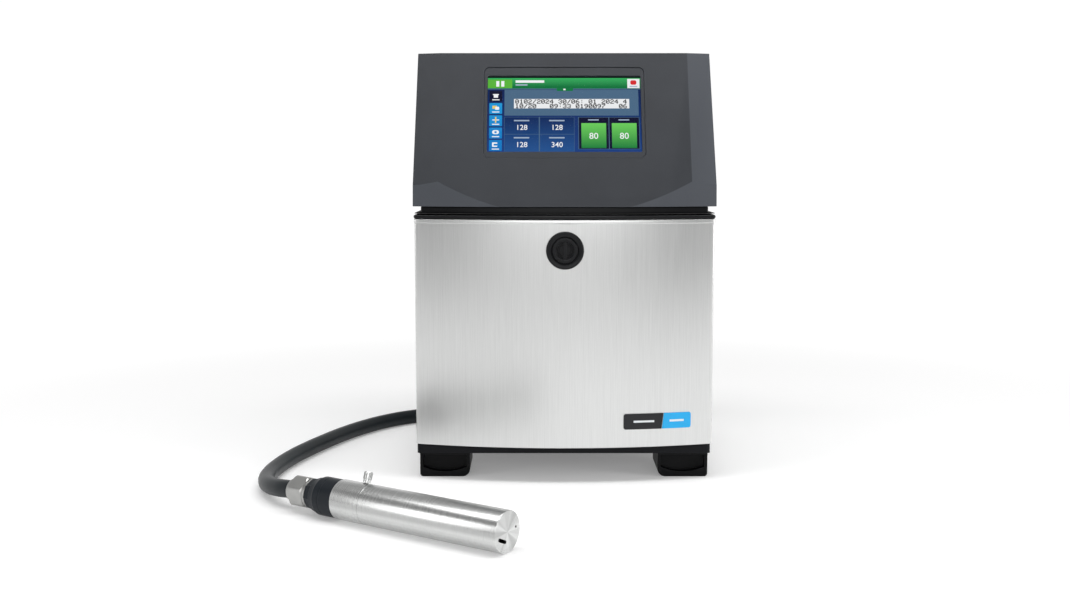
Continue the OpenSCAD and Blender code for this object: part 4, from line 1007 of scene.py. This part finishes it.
view, view_w, view_h = front_frame("display_module")
view_top = view.translation.z
view_bottom = (view @ Vector((0, view_h * MM, 0))).z
print("lit view", round(view_w, 1), "by", round(view_h, 1), "mm")


def level_at(share):
    """Height in the room of a place a share of the way down the view."""
    return view_top + (view_bottom - view_top) * share


inks = [
    glow("view_night", from_screen(12, 30, 72), from_screen(30, 66, 132), view_bottom, view_top),
    glow("view_green", from_screen(58, 176, 96), from_screen(12, 118, 62), level_at(0.13), level_at(0.02)),
    glow("view_lime", from_screen(92, 186, 60)),
    glow("view_white", from_screen(246, 248, 250)),
    glow("view_slate", from_screen(78, 108, 136)),
    glow("view_key", from_screen(34, 158, 226), from_screen(18, 120, 200), level_at(0.98), level_at(0.3)),
    glow("view_navy", from_screen(10, 14, 48)),
    glow("view_count", from_screen(14, 46, 96), from_screen(38, 84, 146), level_at(0.98), level_at(0.56)),
    glow("view_gauge", from_screen(108, 206, 92), from_screen(22, 122, 60), level_at(0.95), level_at(0.62)),
    glow("view_black", from_screen(6, 8, 12)),
    glow("view_red", from_screen(214, 44, 48)),
    glow("view_grey", from_screen(160, 178, 200)),
    glow("view_gold", from_screen(240, 208, 110)),
]
NIGHT, GREEN, LIME, WHITE, SLATE, KEY, NAVY, COUNT, GAUGE, BLACK, RED, GREY, GOLD = range(len(inks))
view_bm = bmesh.new()
LAYER = 0.03


def lit(left, top, right, bottom, layer, ink, corner=0):
    """A lit plate, in shares of the view's width and height, on a numbered layer."""
    low = mm(left * view_w, top * view_h, LAYER * layer)
    high = mm(right * view_w, bottom * view_h, LAYER * (layer + 1))
    add_block(view_bm, view, low, high, ink, corner * MM)


lit(0, 0, 1, 1, 0, NIGHT)
lit(0, 0, 1, 0.014, 4, BLACK)
lit(0, 0.014, 1, 0.155, 1, GREEN)
lit(0, 0.034, 0.16, 0.15, 2, LIME)
for left in (0.055, 0.088):
    lit(left, 0.055, left + 0.02, 0.13, 3, WHITE)
lit(0.182, 0.045, 0.37, 0.078, 3, WHITE, 0.4)
lit(0.182, 0.098, 0.26, 0.116, 3, GREY, 0.3)
lit(0.915, 0.026, 0.995, 0.15, 2, WHITE)
lit(0.935, 0.045, 0.975, 0.105, 3, RED, 2)
lit(0.93, 0.12, 0.98, 0.135, 3, GREY)
lit(0, 0.155, 1, 0.168, 2, SLATE)
lit(0.45, 0.15, 0.56, 0.188, 3, GREEN, 3)
lit(0.495, 0.158, 0.51, 0.178, 4, WHITE, 0.6)
lit(0.11, 0.172, 0.985, 0.515, 1, SLATE)

key_step = 0.162
for i in range(5):
    top = 0.188 + key_step * i
    lit(0.012, top, 0.095, top + 0.142, 2, NAVY if i == 0 else KEY, 0.8)
    lit(0.03, top + 0.112, 0.077, top + 0.124, 3, WHITE)
keys_x, key_y = 0.0535, 0.243
# Key, then left, top, right and bottom from its middle, layer, ink, corner
SYMBOLS = [
    (0, -0.014, 0, 0.014, 0.035, 3, WHITE, 0), (0, -0.02, -0.014, 0.02, 0, 3, WHITE, 2),
    (1, -0.022, -0.02, 0.008, 0.02, 3, GOLD, 0.5), (1, -0.004, -0.006, 0.022, 0.034, 4, WHITE, 1),
    (2, -0.022, 0, 0.022, 0.012, 3, WHITE, 0), (2, -0.004, -0.034, 0.004, 0.044, 4, GOLD, 0),
    (3, -0.022, -0.022, 0.022, 0.03, 3, WHITE, 2.3), (3, -0.008, -0.008, 0.008, 0.018, 4, KEY, 1),
    (4, -0.022, -0.024, 0.012, 0.034, 3, WHITE, 0.8), (4, -0.012, -0.006, 0.022, 0.018, 4, KEY, 0.8),
]
for key, left, top, right, bottom, layer, ink, corner in SYMBOLS:
    middle = key_y + key * key_step
    lit(keys_x + left, middle + top, keys_x + right, middle + bottom, layer, ink, corner)

# %% [markdown]
# The code is drawn as the printer prints it, in drops on a grid of five by seven. The figures
# only say which drops are thrown, as a row of seven numbers does in the machine.

# %% The code in drops
DROPS = {
    "0": "01110 10001 10011 10101 11001 10001 01110", "1": "00100 01100 00100 00100 00100 00100 01110",
    "2": "01110 10001 00001 00110 01000 10000 11111", "3": "01110 10001 00001 00110 00001 10001 01110",
    "4": "00010 00110 01010 10010 11111 00010 00010", "5": "11111 10000 11110 00001 00001 10001 01110",
    "6": "00110 01000 10000 11110 10001 10001 01110", "7": "11111 00001 00010 00100 01000 01000 01000",
    "8": "01110 10001 10001 01110 10001 10001 01110", "9": "01110 10001 10001 01111 00001 00010 01100",
    ":": "00000 00100 00000 00000 00100 00000 00000", "/": "00001 00010 00010 00100 01000 01000 10000",
}
lit(0.172, 0.295, 0.925, 0.42, 2, WHITE)
for line, code in enumerate(("0102/2024 30/06: 01 2024 4", "10/20   09:33 0190097   06")):
    for place, figure in enumerate(code):
        for row, drops in enumerate(DROPS.get(figure, "").split()):
            for column, drop in enumerate(drops):
                if drop == "1":
                    x = 0.18 + (place * 6 + column) * 0.0047
                    y = 0.3 + line * 0.061 + row * 0.0078
                    lit(x, y, x + 0.006, y + 0.0102, 3, BLACK)

# %% Counters and gauges
def figures(text, x, y, height):
    """Numbers centred on a place in the view, as thin lit letters made into mesh."""
    curve = bpy.data.curves.new("figures", "FONT")
    curve.body = text
    curve.size = height * MM * 1.4
    curve.align_x = "CENTER"
    curve.offset = 0.05 * MM
    curve.extrude = LAYER * MM / 2
    curve.resolution_u = 4
    writer = add_object("figures", curve)
    bpy.context.view_layer.update()
    mesh = bpy.data.meshes.new_from_object(writer.evaluated_get(bpy.context.evaluated_depsgraph_get()))
    bpy.data.objects.remove(writer)
    spot = view @ shift(x * view_w, y * view_h, LAYER * 5.5)
    mesh.transform(spot @ Matrix.Rotation(math.pi, 4, "X"))
    before = set(view_bm.faces)
    view_bm.from_mesh(mesh)
    for face in view_bm.faces:
        if face not in before:
            face.material_index = WHITE
    bpy.data.meshes.remove(mesh)


lit(0.11, 0.535, 0.565, 0.985, 1, SLATE)
for column, row, text in ((0, 0, "128"), (1, 0, "128"), (0, 1, "128"), (1, 1, "340")):
    left, top = 0.112 + 0.229 * column, 0.538 + 0.225 * row
    lit(left, top, left + 0.222, top + 0.22, 2, COUNT)
    lit(left + 0.06, top + 0.035, left + 0.16, top + 0.052, 3, GREY, 0.3)
    figures(text, left + 0.111, top + 0.165, 6.4)
lit(0.59, 0.535, 0.988, 0.955, 1, SLATE)
for column in (0, 1):
    left = 0.594 + 0.198 * column
    lit(left, 0.54, left + 0.193, 0.95, 2, NAVY)
    lit(left + 0.06, 0.565, left + 0.13, 0.58, 3, GREY, 0.3)
    lit(left + 0.016, 0.615, left + 0.177, 0.94, 3, GAUGE, 0.5)
    figures("80", left + 0.096, 0.82, 7.6)
bmesh.ops.recalc_face_normals(view_bm, faces=view_bm.faces)
make("screen_picture", view_bm, "cabinet", "screen", materials=inks)
